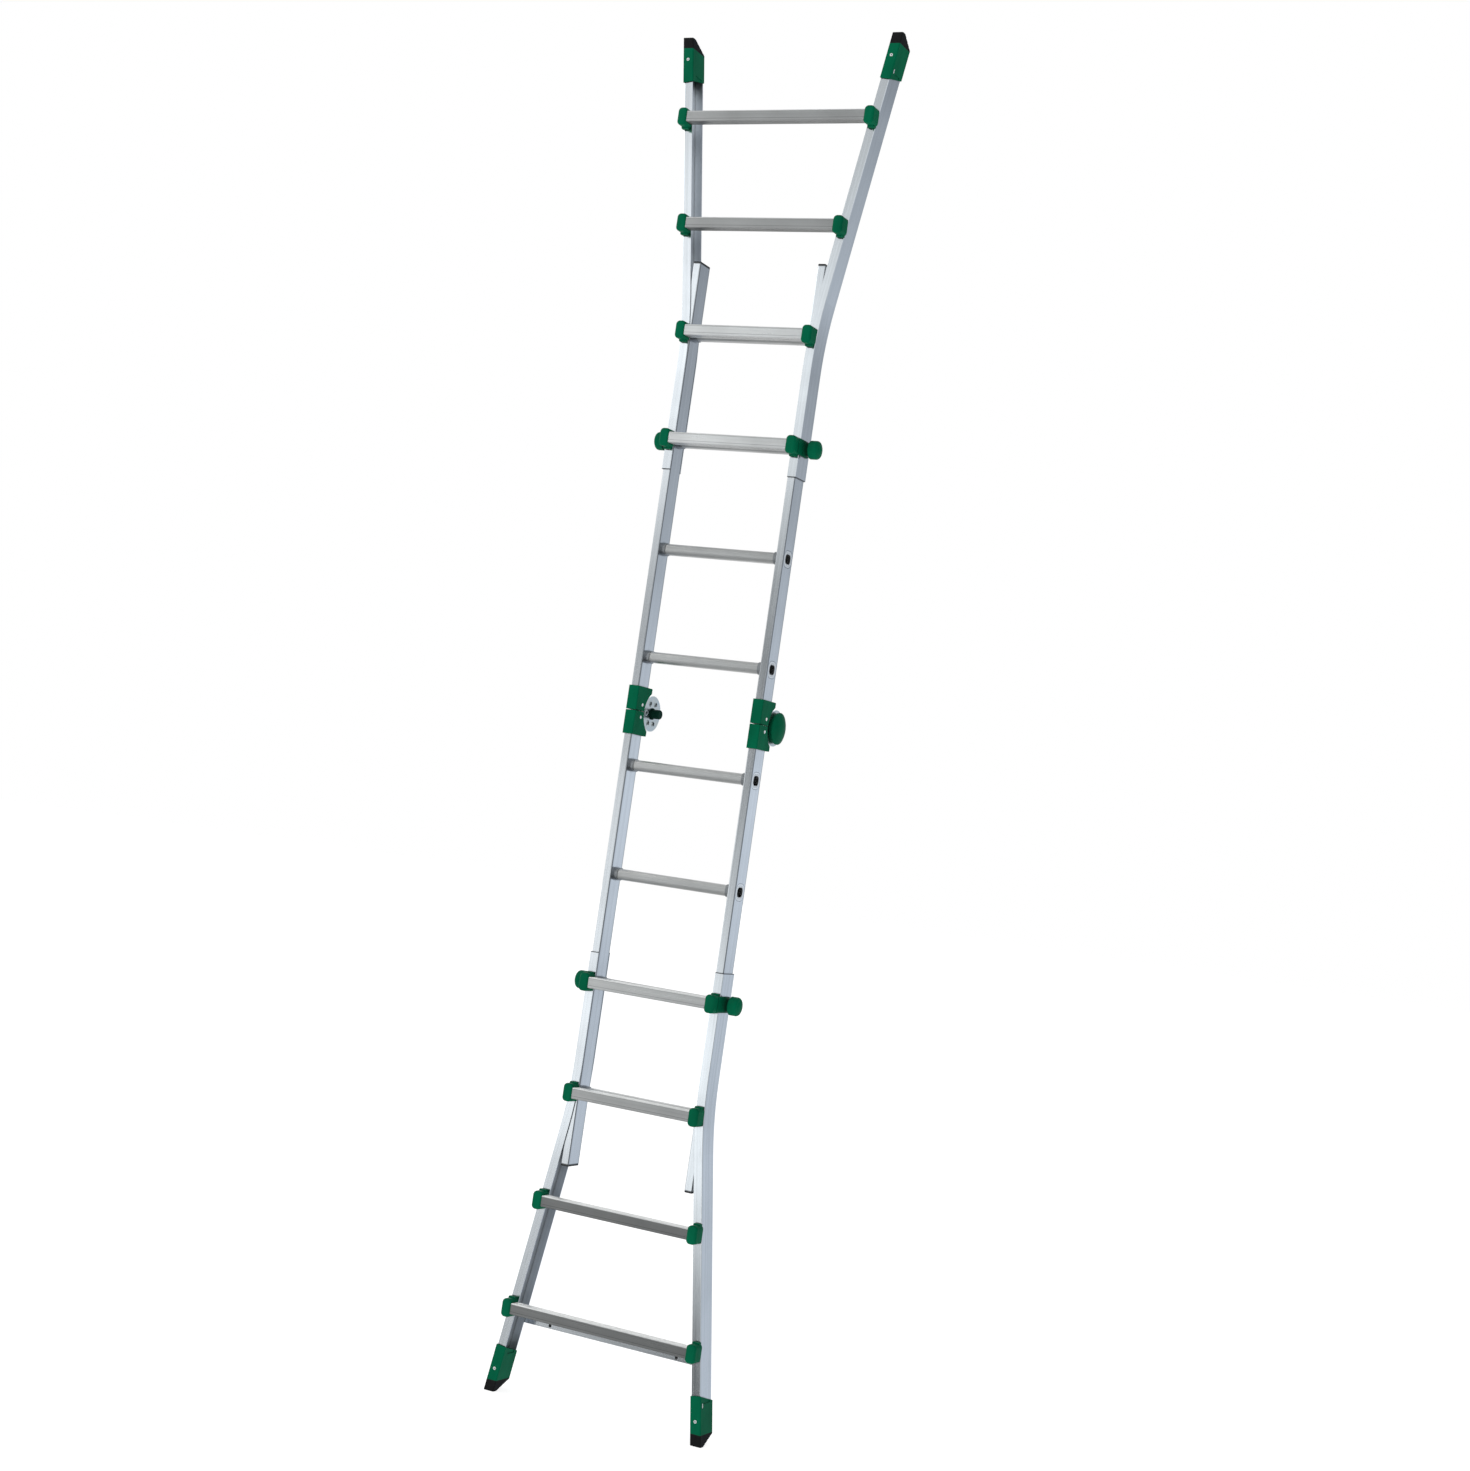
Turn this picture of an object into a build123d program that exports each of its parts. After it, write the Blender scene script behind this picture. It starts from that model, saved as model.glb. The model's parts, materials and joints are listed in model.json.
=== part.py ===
"""Telescopic hinged ladder with flared ends, shown straight and fully drawn out.

Millimetres. Z is up along the ladder, X runs along the rungs and Y points to the back.
Each half is drawn with its own Z running away from the hinge, for the right side only,
and is then mirrored to the left and to the lower or upper half.
"""
import os
from math import asin, cos, radians, sin, tan

from build123d import *

# whole ladder
rung_pitch = 280.0
rungs_per_section = 4
drawn_pitches = 2
foot_reach = 220.0

# inner stiles, straight box tubes
inner_half_span = 187.0
inner_width = 21.0
inner_depth = 56.0
inner_wall = 1.8
inner_corner = 2.5
inner_start = 34.0
inner_tail = 185.0

# inner rungs, oval tubes swaged into the stiles
inner_rung_depth = 33.0
inner_rung_height = 28.0
inner_rung_round = 11.0
inner_rung_wall = 1.6
rung_flange = 4.0
rung_bead = 2.0
rung_bead_length = 12.0

# plugs in the free ends of the inner stiles
plug_head = 3.0
plug_insert = 18.0

# outer stiles, C-sections that run over the inner stiles
slide_gap = 0.6
outer_wall = 2.4
outer_flange = 23.5
outer_corner = 2.0
outer_head = 77.0
bend_run = 283.0
bend_radius = 1200.0
flare_angle = 8.6

# outer rungs, flat tubes in front of the stiles
outer_rung_depth = 30.0
outer_rung_height = 28.0
outer_rung_round = 2.0
outer_rung_inner_round = 1.0
outer_rung_wall = 2.0
outer_rung_back = 3.0
groove_count = 6
groove_pitch = 4.0
groove_width = 2.0
groove_depth = 1.0

# rung end caps
cap_half_width = 13.5
cap_half_height = 23.0
cap_corner = 10.0
cap_front = 3.0
cap_edge = 6.0
cap_pocket = 14.0
tab_half_width = 9.5
tab_depth = 12.0
tab_length = 3.0
tab_edge = 2.0

# lock brackets, knobs and pins
wing_thickness = 3.25
wing_lap = 14.0
wing_back = 19.0
wing_half_height = 20.0
wing_round = 6.0
boss_base_radius = 19.0
boss_tip_radius = 15.5
boss_length = 14.0
pin_radius = 8.0
pin_clearance = 0.06
pin_rest_gap = 1.0
pin_chamfer = 1.5
lock_travel = 9.0
neck_radius = 12.0
neck_rest_gap = 1.0
cup_rest_gap = 3.0
cup_room = 1.5
cup_clearance = 0.5
cup_wall = 4.0
cup_lip_round = 1.5
lock_head_length = 28.0
lock_head_round = 8.0
lock_dome = 4.0
pin_socket = 22.0

# boots and rubber tips
boot_wall_side = 2.8
boot_wall_front = 3.2
boot_length = 118.0
boot_round = 3.0
boot_sole = 13.0
mouth_slant = 18.0
slot_width = 5.0
slot_length = 13.0
slot_from_front = 12.0
slot_from_mouth = 24.0
tip_height = 28.0
tip_flat = 15.0
tip_back = 2.0
tip_grooves = 3
tip_groove = 2.5
boot_rivet_up = 58.0
clip_depth = 1.6
clip_half_width = 16.0
clip_length = 12.0
clip_from_mouth = 8.0

# rivets
rivet_radius = 2.4
rivet_head_radius = 4.2
rivet_head = 1.4

# brace bar behind the bottom rung
brace_thickness = 3.0
brace_below_rung = 17.0
brace_height = 30.0
brace_round = 5.0
brace_past_rivet = 8.0
brace_hole_half_spacing = 182.0
brace_hole_radius = 4.25
brace_hole_up = 7.5

# hinges
pivot_back = 72.0
hinge_disc_radius = 46.0
sleeve_wall = 4.2
sleeve_half_gap = 1.0
sleeve_end = 62.0
sleeve_back = 43.0
sleeve_arc_radius = 57.0
sleeve_round = 2.5
ear_round = 3.0
tongue_half = 3.0
plate_gap = 0.3
clevis_plate = 4.0
arm_front = -18.0
arm_near = 5.0
arm_far = 33.0
tang_half_depth = 18.0
tang_end = 80.0
web_back = 8.0
lock_hole_count = 6
lock_hole_radius = 5.0
lock_hole_circle = 29.0
hinge_rivet_out = 16.0
bush_radius = 15.0
bush_clearance = 0.05
bush_inside = 10.0
rod_radius = 12.0
rod_clearance = 0.06
rod_inside = 33.0
rod_chamfer = 2.0
knob_gap = 0.7
skirt_radius = 37.0
skirt_length = 7.5
knob_radius = 40.5
knob_rim = 3.5
knob_dome = 10.5
rod_socket = 6.0

# sizes that follow from the ones above
inner_x = inner_half_span - inner_width / 2
inner_face = inner_half_span - inner_width
web_inside = inner_half_span + slide_gap
web_outside = web_inside + outer_wall
flange_inside = inner_depth / 2 + slide_gap
flange_outside = flange_inside + outer_wall
flange_x = web_outside - outer_flange / 2
slope = tan(radians(flare_angle))
rung_front_y = -(flange_outside + outer_rung_back + outer_rung_depth)
rung_mid_y = rung_front_y + outer_rung_depth / 2
cap_front_y = rung_front_y - cap_front
clevis_inside = tongue_half + plate_gap
clevis_half = clevis_inside + clevis_plate
rung_heights = [rung_pitch * (index + 0.5) for index in range(rungs_per_section)]
outer_heights = [height + rung_pitch * drawn_pitches for height in rung_heights]
lock_height = outer_heights[0]
hinge_height = outer_heights[-1] + foot_reach
inner_end = rung_heights[-1] + inner_tail
outer_start = lock_height - outer_head
bend_at = lock_height + bend_run
tip_line = hinge_height - tip_height
outer_end = tip_line - boot_sole
boot_mouth = hinge_height - boot_length
boot_rivet_at = hinge_height - boot_rivet_up
tip_rise = tip_height - tip_back
brace_top = outer_heights[-1] + brace_below_rung
brace_bottom = brace_top + brace_height
neck_end = lock_travel + neck_rest_gap
cup_radius = boss_base_radius + cup_clearance
lock_head_radius = cup_radius + cup_wall
stile_y = -(cap_front_y + pivot_back + hinge_disc_radius) / 2


def block(x_low, x_high, y_low, y_high, z_low, z_high):
    """A box between two corners."""
    middle = Pos((x_low + x_high) / 2, (y_low + y_high) / 2, (z_low + z_high) / 2)
    return middle * Box(x_high - x_low, y_high - y_low, z_high - z_low)


def across(outline, x_low, x_high, y=0.0, z=0.0):
    """A YZ outline drawn out along X."""
    plane = Plane(origin=(x_low, y, z), x_dir=(0, 1, 0), z_dir=(1, 0, 0))
    return extrude(plane * outline, amount=x_high - x_low)


def oval(depth, height, corner, x_low, x_high, y=0.0, z=0.0):
    """A bar of rounded section along X."""
    return across(RectangleRounded(depth, height, corner), x_low, x_high, y, z)


def round_bar(radius, x_low, x_high, y=0.0, z=0.0):
    """A round bar along X."""
    return across(Circle(radius), x_low, x_high, y, z)


def turned(points, y=0.0, z=0.0, curved=None):
    """A turned piece about a line along X, from (x, radius) points.

    curved holds, by the number of the point it starts from, a point on each curved run.
    """
    edges = []
    for number, start in enumerate(points):
        finish = points[(number + 1) % len(points)]
        if curved and number in curved:
            edges.append(ThreePointArc(start, curved[number], finish))
        else:
            edges.append(Line(start, finish))
    return Pos(0, y, z) * revolve(make_face(edges), Axis.X)


def dome_middle(start, radius, height):
    """A point half way up a round dome that starts at a radius."""
    sphere = (radius ** 2 + height ** 2) / (2 * height)
    half = asin(radius / sphere) / 2
    return start + height - sphere * (1 - cos(half)), sphere * sin(half)


def upright(outline, x, z_low, z_high):
    """An XY outline drawn out along Z."""
    return extrude(Plane(origin=(x, 0, z_low)) * outline, amount=z_high - z_low)


def flare(height):
    """How far the bent stile has moved outwards at a distance from the hinge."""
    return max(0.0, height - bend_at) * slope


def flared(local):
    """Put a piece drawn along a straight stile onto the flared run."""
    angle = radians(flare_angle)
    plane = Plane(origin=(flange_x, 0, bend_at), x_dir=(cos(angle), 0, -sin(angle)),
                  z_dir=(sin(angle), 0, cos(angle)))
    return plane.location * local


def along_flare(height):
    """Distance along the flared run for a distance from the hinge."""
    return (height - bend_at) / cos(radians(flare_angle))


def rivet(x, y, z, axis_y, length):
    """A rivet along Y, head at the start and shank running to the other side."""
    head = Cylinder(rivet_head_radius, rivet_head)
    head = fillet(head.edges().group_by(Axis.Z)[-1], rivet_head * 0.6)
    body = Pos(0, 0, rivet_head / 2) * head
    body += Pos(0, 0, -length / 2) * Cylinder(rivet_radius, length)
    turn = Rot(90, 0, 0) if axis_y < 0 else Rot(-90, 0, 0)
    return Pos(x, y, z) * turn * body


# inner section, right side


def stile_outline(grow=0.0):
    """Outside of the inner stile."""
    return RectangleRounded(inner_width + 2 * grow, inner_depth + 2 * grow, inner_corner)


def cavity_outline():
    """Inside of the inner stile."""
    return RectangleRounded(inner_width - 2 * inner_wall, inner_depth - 2 * inner_wall, 1.0)


def inner_stile():
    """Box stile with an oval hole through both walls at each rung."""
    tube = upright(stile_outline(), inner_x, inner_start, inner_end)
    tube -= upright(cavity_outline(), inner_x, inner_start - 1, inner_end + 1)
    for height in rung_heights:
        tube -= oval(inner_rung_depth, inner_rung_height, inner_rung_round,
                     inner_face - 1, inner_x, 0, height)
        tube -= oval(inner_rung_depth + 2 * rung_flange, inner_rung_height + 2 * rung_flange,
                     inner_rung_round + rung_flange, inner_x, inner_half_span + 1, 0, height)
    return tube


def inner_rung(height):
    """Oval tube with a bead against each stile and a flange let into its outer wall."""
    seat = inner_half_span - inner_wall
    tube = oval(inner_rung_depth, inner_rung_height, inner_rung_round, -seat, seat, 0, height)
    for low, high in ((-inner_half_span, -seat), (seat, inner_half_span)):
        tube += oval(inner_rung_depth + 2 * rung_flange, inner_rung_height + 2 * rung_flange,
                     inner_rung_round + rung_flange, low, high, 0, height)
    for low in (-inner_face, inner_face - rung_bead_length):
        tube += oval(inner_rung_depth + 2 * rung_bead, inner_rung_height + 2 * rung_bead,
                     inner_rung_round + rung_bead, low, low + rung_bead_length, 0, height)
    return tube - oval(inner_rung_depth - 2 * inner_rung_wall, inner_rung_height - 2 * inner_rung_wall,
                       inner_rung_round - inner_rung_wall, -inner_half_span - 1, inner_half_span + 1,
                       0, height)


def end_plug():
    """Plug in the free end of an inner stile."""
    head = upright(stile_outline(), inner_x, inner_end, inner_end + plug_head)
    head = chamfer(head.edges().group_by(Axis.Z)[-1], 1.0)
    return head + upright(cavity_outline(), inner_x, inner_end - plug_insert, inner_end)


def hinge_sleeve(slot_half):
    """Moulded sleeve over the hinge end of a stile, hollowed round the hinge disc."""
    half = inner_width / 2 + sleeve_wall
    front = -(inner_depth / 2 + sleeve_wall)
    body = block(inner_x - half, inner_x + half, front, sleeve_back, sleeve_half_gap, sleeve_end)
    body = fillet(body.edges().filter_by(Axis.Z).group_by(Axis.Y)[0], sleeve_round)
    ears = body.edges().filter_by(Axis.X).group_by(Axis.Y)[-1].sort_by(Axis.Z)[-1]
    body = fillet(ears, ear_round)
    body -= round_bar(sleeve_arc_radius, inner_x - half - 1, inner_x + half + 1, pivot_back, 0)
    body -= upright(stile_outline(), inner_x, inner_start, sleeve_end + 1)
    body -= block(inner_x - slot_half, inner_x + slot_half, arm_front, pivot_back,
                  arm_near - 1, inner_start)
    body -= round_bar(rivet_radius, inner_x - half - 1, inner_x + half + 1, 0, hinge_rivet_out)
    return body


def plate_outline():
    """Hinge plate: round head on an arm with a tang that goes up the stile."""
    outline = Pos(pivot_back, 0) * Circle(hinge_disc_radius)
    arm = Polyline((arm_front, arm_near), (pivot_back - lock_hole_circle, arm_near),
                   (pivot_back - bush_radius, arm_far), (tang_half_depth, arm_far),
                   (tang_half_depth, tang_end), (-tang_half_depth, tang_end),
                   (-tang_half_depth, arm_near), close=True)
    outline += make_face(arm)
    for number in range(lock_hole_count):
        turn = Rot(0, 0, 360 / lock_hole_count * number)
        outline -= Pos(pivot_back, 0) * turn * Pos(lock_hole_circle, 0) * Circle(lock_hole_radius)
    return outline - Pos(0, hinge_rivet_out) * Circle(rivet_radius)


def hinge_tongue():
    """Single middle plate of the lower half, tight on the pivot bush."""
    plate = across(plate_outline(), inner_x - tongue_half, inner_x + tongue_half)
    return plate - round_bar(bush_radius, inner_x - tongue_half - 1, inner_x + tongue_half + 1, pivot_back)


def hinge_clevis():
    """Pair of plates of the upper half, joined by a web inside the sleeve and stile."""
    fork = across(plate_outline(), inner_x - clevis_half, inner_x - clevis_inside)
    fork += across(plate_outline(), inner_x + clevis_inside, inner_x + clevis_half)
    web = block(inner_x - clevis_half, inner_x + clevis_half, arm_front, web_back, arm_near, tang_end)
    web -= round_bar(rivet_radius, inner_x - clevis_half - 1, inner_x + clevis_half + 1, 0, hinge_rivet_out)
    fork += web
    return fork - round_bar(bush_radius + bush_clearance, inner_x - clevis_half - 1,
                            inner_x + clevis_half + 1, pivot_back)


def hinge_rivet():
    """Rivet through a sleeve and the plate in it, a head on each side."""
    half = inner_width / 2 + sleeve_wall
    shank = round_bar(rivet_radius, inner_x - half, inner_x + half, 0, hinge_rivet_out)
    for side in (-1, 1):
        start = inner_x + side * half
        head = round_bar(rivet_head_radius, min(start, start + side * rivet_head),
                         max(start, start + side * rivet_head), 0, hinge_rivet_out)
        shank += chamfer(head.edges().group_by(Axis.X)[-1 if side > 0 else 0], rivet_head * 0.5)
    return shank


def pivot_bush():
    """Bush that is tight in the middle plate and carries the outer ones."""
    return turned([(inner_x - bush_inside, rod_radius + rod_clearance),
                   (inner_x + clevis_half + knob_gap / 2, rod_radius + rod_clearance),
                   (inner_x + clevis_half + knob_gap / 2, bush_radius),
                   (inner_x - bush_inside, bush_radius)], pivot_back)


def release_rod():
    """Plunger through the bush, pressed on its inner end."""
    start = inner_x - rod_inside
    end = inner_x + clevis_half + knob_gap + rod_socket
    return turned([(start, 0), (start, rod_radius - rod_chamfer), (start + rod_chamfer, rod_radius),
                   (end, rod_radius), (end, 0)], pivot_back)


def release_knob():
    """Round knob on the outer end of the plunger."""
    back = inner_x + clevis_half + knob_gap
    rim = back + skirt_length
    shoulder = rim + knob_rim
    top = shoulder + knob_dome
    knob = turned([(back, 0), (back, skirt_radius), (rim, skirt_radius), (rim, knob_radius),
                   (shoulder, knob_radius), (top, 0)], pivot_back, 0,
                  {4: dome_middle(shoulder, knob_radius, knob_dome)})
    return knob - round_bar(rod_radius, back - 1, back + rod_socket, pivot_back)


# outer section, right side


def channel_outline():
    """C-section open towards the middle of the ladder, about the flange centre."""
    outline = Rectangle(outer_flange, 2 * flange_outside)
    outline = fillet(outline.vertices().group_by(Axis.X)[-1], outer_corner)
    return outline - Pos(-outer_wall, 0) * Rectangle(outer_flange, 2 * flange_inside)


def outer_stile(with_brace):
    """C-section stile, straight over the inner stile and then bent outwards."""
    angle = radians(flare_angle)
    reach = bend_radius * tan(angle / 2)
    low = (flange_x, 0, bend_at - reach)
    high = (flange_x + reach * sin(angle), 0, bend_at + reach * cos(angle))
    end = (flange_x + (outer_end - bend_at) * slope, 0, outer_end)
    half_turn = angle / 2
    middle = (low[0] + bend_radius * (1 - cos(half_turn)), 0, low[2] + bend_radius * sin(half_turn))
    path = Line((flange_x, 0, outer_start), low) + ThreePointArc(low, middle, high) + Line(high, end)
    stile = sweep(Plane(origin=(flange_x, 0, outer_start)) * channel_outline(), path=path)
    stile -= round_bar(pin_radius + pin_clearance, web_inside - 1, web_outside + 1, 0, lock_height)
    stile -= boot_rivet_hole()
    if with_brace:
        stile -= Pos(brace_rivet_x(), flange_outside, brace_middle()) * Rot(90, 0, 0) * Cylinder(
            rivet_radius, 3 * outer_wall)
    return stile


def outer_rung(height):
    """Flat tube rung, ribbed above and below."""
    outline = RectangleRounded(outer_rung_depth, outer_rung_height, outer_rung_round)
    outline -= RectangleRounded(outer_rung_depth - 2 * outer_rung_wall - 2 * groove_depth,
                                outer_rung_height - 2 * outer_rung_wall - 2 * groove_depth,
                                outer_rung_inner_round)
    for number in range(groove_count):
        offset = (number - (groove_count - 1) / 2) * groove_pitch
        for side in (-1, 1):
            outline -= Pos(offset, side * outer_rung_height / 2) * Rectangle(groove_width, 2 * groove_depth)
    reach = rung_reach(height)
    return across(outline, -reach, reach, rung_mid_y, height)


def rung_reach(height):
    """Half length of an outer rung."""
    return flange_x + flare(height) - cap_half_width + cap_pocket


def cap_solid(height):
    """Round cornered end cap on the stile's front, with a short tab towards the hinge."""
    x = flange_x + flare(height)
    plane = Plane(origin=(x, -flange_outside, height), x_dir=(1, 0, 0), z_dir=(0, -1, 0))
    outline = plane * RectangleRounded(2 * cap_half_width, 2 * cap_half_height, cap_corner)
    body = extrude(outline, amount=-flange_outside - cap_front_y)
    body = fillet(body.edges().group_by(Axis.Y)[0], cap_edge)
    tab_start = height - cap_half_height
    tab = block(x - tab_half_width, x + tab_half_width, -flange_outside - tab_depth, -flange_outside,
                tab_start - tab_length, height)
    tab = chamfer(tab.edges().group_by(Axis.Z)[0].group_by(Axis.Y)[0], tab_edge)
    return body + tab


def rung_pocket(height):
    """The room that a rung end takes in its cap."""
    reach = rung_reach(height)
    return oval(outer_rung_depth, outer_rung_height, outer_rung_round, reach - 2 * cap_pocket, reach,
                rung_mid_y, height)


def rung_cap(height):
    """Plain end cap."""
    return cap_solid(height) - rung_pocket(height)


def lock_bracket():
    """End cap with a wing on the stile's side and a boss that guides the lock knob."""
    body = cap_solid(lock_height)
    wing = block(web_outside, web_outside + wing_thickness, -flange_outside - wing_lap, wing_back,
                 lock_height - wing_half_height, lock_height + wing_half_height)
    wing = fillet(wing.edges().filter_by(Axis.X), wing_round)
    body += wing
    boss = turned([(web_outside, 0), (web_outside, boss_base_radius),
                   (web_outside + wing_thickness, boss_base_radius),
                   (web_outside + boss_length, boss_tip_radius), (web_outside + boss_length, 0)],
                  0, lock_height)
    body += boss
    body -= round_bar(neck_radius + pin_clearance, web_outside - 1, web_outside + boss_length + 1,
                      0, lock_height)
    return body - rung_pocket(lock_height)


def lock_knob():
    """Cup shaped knob, its neck running in the bracket's boss and its rim over the boss."""
    start = web_outside + neck_end
    floor = web_outside + boss_length + lock_travel + cup_room
    lip = web_outside + boss_length + cup_rest_gap
    crown = lip + lock_head_length - lock_dome
    shoulder = crown - lock_head_round
    crown_radius = lock_head_radius - lock_head_round
    bend = lock_head_round * sin(radians(45))
    lip_bend = cup_lip_round * (1 - sin(radians(45)))
    knob = turned([(start, 0), (start, neck_radius), (floor, neck_radius), (floor, cup_radius),
                   (lip, cup_radius), (lip, lock_head_radius - cup_lip_round),
                   (lip + cup_lip_round, lock_head_radius), (shoulder, lock_head_radius),
                   (crown, crown_radius), (crown + lock_dome, 0)],
                  0, lock_height,
                  {5: (lip + lip_bend, lock_head_radius - lip_bend),
                   7: (shoulder + bend, crown_radius + bend),
                   8: dome_middle(crown, crown_radius, lock_dome)})
    return knob - round_bar(pin_radius, start - 1, start + pin_socket, 0, lock_height)


def lock_pin():
    """Steel pin in a lock knob, drawn back clear of the inner stile."""
    tip = inner_half_span + pin_rest_gap
    end = web_outside + neck_end + pin_socket
    return turned([(tip, 0), (tip, pin_radius - pin_chamfer), (tip + pin_chamfer, pin_radius),
                   (end, pin_radius), (end, 0)], 0, lock_height)


def boot_half_width():
    """Half width of a boot along X."""
    return outer_flange / 2 + boot_wall_side


def boot_half_depth():
    """Half depth of a boot along Y."""
    return flange_outside + boot_wall_front


def boot_prism(start, finish):
    """Outside of a boot along the flared run."""
    outline = RectangleRounded(2 * boot_half_width(), 2 * boot_half_depth(), boot_round)
    return flared(upright(outline, 0, along_flare(start), along_flare(finish)))


def band(low, high):
    """Everything between two distances from the hinge."""
    return block(0, 4 * inner_half_span, -4 * inner_depth, 4 * inner_depth, low, high)


def boot_rivet_x():
    """Middle of the front flange at the boot rivet."""
    return flange_x + flare(boot_rivet_at)


def boot_rivet_hole():
    """Hole for the boot rivet through the boot and the front flange."""
    depth = boot_wall_front + 2 * outer_wall
    place = Pos(boot_rivet_x(), -flange_outside, boot_rivet_at)
    return place * Rot(90, 0, 0) * Cylinder(rivet_radius, 2 * depth)


def boot():
    """Plastic boot over the flared end: slanted mouth, clip recesses and a slot outside."""
    body = boot_prism(boot_mouth, hinge_height + tip_height) & band(0, tip_line)
    socket = Rectangle(outer_flange, 2 * flange_outside)
    body -= flared(upright(socket, 0, along_flare(boot_mouth) - boot_sole, along_flare(outer_end)))
    start = along_flare(boot_mouth) + clip_from_mouth
    for side in (-1, 1):
        edge = side * boot_half_width()
        recess = block(edge - clip_depth, edge + clip_depth, -clip_half_width, clip_half_width,
                       start, start + clip_length)
        body -= flared(recess)
    back = boot_half_depth() + boot_round
    past = mouth_slant * boot_round / (2 * boot_half_depth())
    mouth = along_flare(boot_mouth)
    wedge = Polyline((-back, mouth - past), (back, mouth + mouth_slant + past),
                     (back, mouth - mouth_slant), (-back, mouth - mouth_slant), close=True)
    body -= flared(across(make_face(wedge), -2 * boot_half_width(), 2 * boot_half_width()))
    slot = RectangleRounded(slot_width, slot_length, slot_width * 0.48)
    body -= flared(across(slot, outer_flange / 2, outer_flange, slot_from_front - boot_half_depth(),
                          mouth + slot_from_mouth))
    return body - boot_rivet_hole()


def rubber_tip():
    """Wedge of rubber under a boot: flat at the front, rising to the back."""
    sole = hinge_height
    body = boot_prism(boot_mouth, sole + tip_height) & band(tip_line, sole)
    flat = -boot_half_depth() + tip_flat
    back = boot_half_depth() + tip_flat
    rise = tip_rise * (back - flat) / (boot_half_depth() - flat)
    below = sole + tip_height
    heel = Polyline((flat, sole), (back, sole - rise), (back, below), (flat, below), close=True)
    body -= across(make_face(heel), inner_half_span, 2 * inner_half_span)
    for number in range(tip_grooves):
        along = (number + 1) / (tip_grooves + 1)
        y = flat + along * (boot_half_depth() - flat)
        z = sole - along * tip_rise
        body -= across(Pos(y, z) * Rectangle(tip_groove, tip_groove), inner_half_span, 2 * inner_half_span)
    return body


def boot_rivet():
    """Rivet on the front of a boot."""
    return rivet(boot_rivet_x(), -boot_half_depth(), boot_rivet_at, -1, boot_half_depth() - flange_inside)


def brace_middle():
    """Height of the brace bar's middle line."""
    return (brace_top + brace_bottom) / 2


def brace_rivet_x():
    """Middle of the back flange at the brace bar."""
    return flange_x + flare(brace_middle())


def brace_bar():
    """Flat bar across the back of the flared stiles with two fixing holes."""
    reach = brace_rivet_x() + brace_past_rivet
    bar = block(-reach, reach, flange_outside, flange_outside + brace_thickness, brace_top, brace_bottom)
    bar = fillet(bar.edges().filter_by(Axis.Y), brace_round)
    holes = [(brace_rivet_x(), rivet_radius, brace_middle()),
             (brace_hole_half_spacing, brace_hole_radius, brace_bottom - brace_hole_up)]
    for x, radius, height in holes:
        hole = Rot(90, 0, 0) * Cylinder(radius, 4 * brace_thickness)
        for side in (-1, 1):
            bar -= Pos(side * x, flange_outside, height) * hole
    return bar


def brace_rivet():
    """Rivet that holds one end of the brace bar."""
    return rivet(brace_rivet_x(), flange_outside + brace_thickness, brace_middle(), 1,
                 brace_thickness + outer_wall)


# putting the halves together


def left(piece):
    """The same piece on the left side."""
    return mirror(piece, Plane.YZ)


def lower(piece):
    """A piece of the lower half."""
    return Pos(0, stile_y, hinge_height) * mirror(piece, Plane.XY)


def upper(piece):
    """A piece of the upper half."""
    return Pos(0, stile_y, hinge_height) * piece


nodes = {}


def keep(name, *pieces):
    """Store a node made of one solid, or a group of like solids."""
    solids = [solid for piece in pieces for solid in piece.solids()]
    nodes[name] = solids[0] if len(solids) == 1 else Compound(solids)


def keep_pair(name, place, piece):
    """Store a right piece and its left twin as two nodes."""
    keep(name + "_left", place(left(piece)))
    keep(name + "_right", place(piece))


def keep_group(name, place, pieces):
    """Store right pieces and their left twins as one group."""
    keep(name, *[place(side) for piece in pieces for side in (left(piece), piece)])


for half, place in (("lower", lower), ("upper", upper)):
    braced = half == "lower"
    keep_pair(half + "_outer_stile", place, outer_stile(braced))
    for number, height in enumerate(outer_heights):
        keep(half + "_outer_rung_" + str(number + 1), place(outer_rung(height)))
    keep_group(half + "_rung_caps", place, [rung_cap(height) for height in outer_heights[1:]])
    keep_pair(half + "_lock_bracket", place, lock_bracket())
    keep_pair(half + "_boot", place, boot())
    keep_group(half + "_rubber_tips", place, [rubber_tip()])
    keep_group(half + "_boot_rivets", place, [boot_rivet()])
    keep_pair(half + "_lock_knob", place, lock_knob())
    keep_pair(half + "_lock_pin", place, lock_pin())
    keep_pair(half + "_inner_stile", place, inner_stile())
    keep(half + "_inner_rungs", *[place(inner_rung(height)) for height in rung_heights])
    keep_group(half + "_end_plugs", place, [end_plug()])
    keep_pair(half + "_hinge_sleeve", place, hinge_sleeve(tongue_half if braced else clevis_half))
    keep_group(half + "_hinge_rivets", place, [hinge_rivet()])

keep("brace_bar", lower(brace_bar()))
keep_group("brace_rivets", lower, [brace_rivet()])
keep_pair("hinge_tongue", lower, hinge_tongue())
keep_pair("hinge_clevis", upper, hinge_clevis())
keep_group("pivot_bushes", lower, [pivot_bush()])
keep_pair("release_rod", lower, release_rod())
keep_pair("release_knob", lower, release_knob())

os.makedirs("parts", exist_ok=True)
for name, piece in nodes.items():
    export_step(piece, "parts/" + name + ".step")
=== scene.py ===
"""Looks of a telescopic hinged ladder with flared ends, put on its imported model."""
import json
import math

import bmesh
import bpy
from bpy.props import FloatProperty, FloatVectorProperty, PointerProperty
from mathutils import Matrix, Vector


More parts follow.
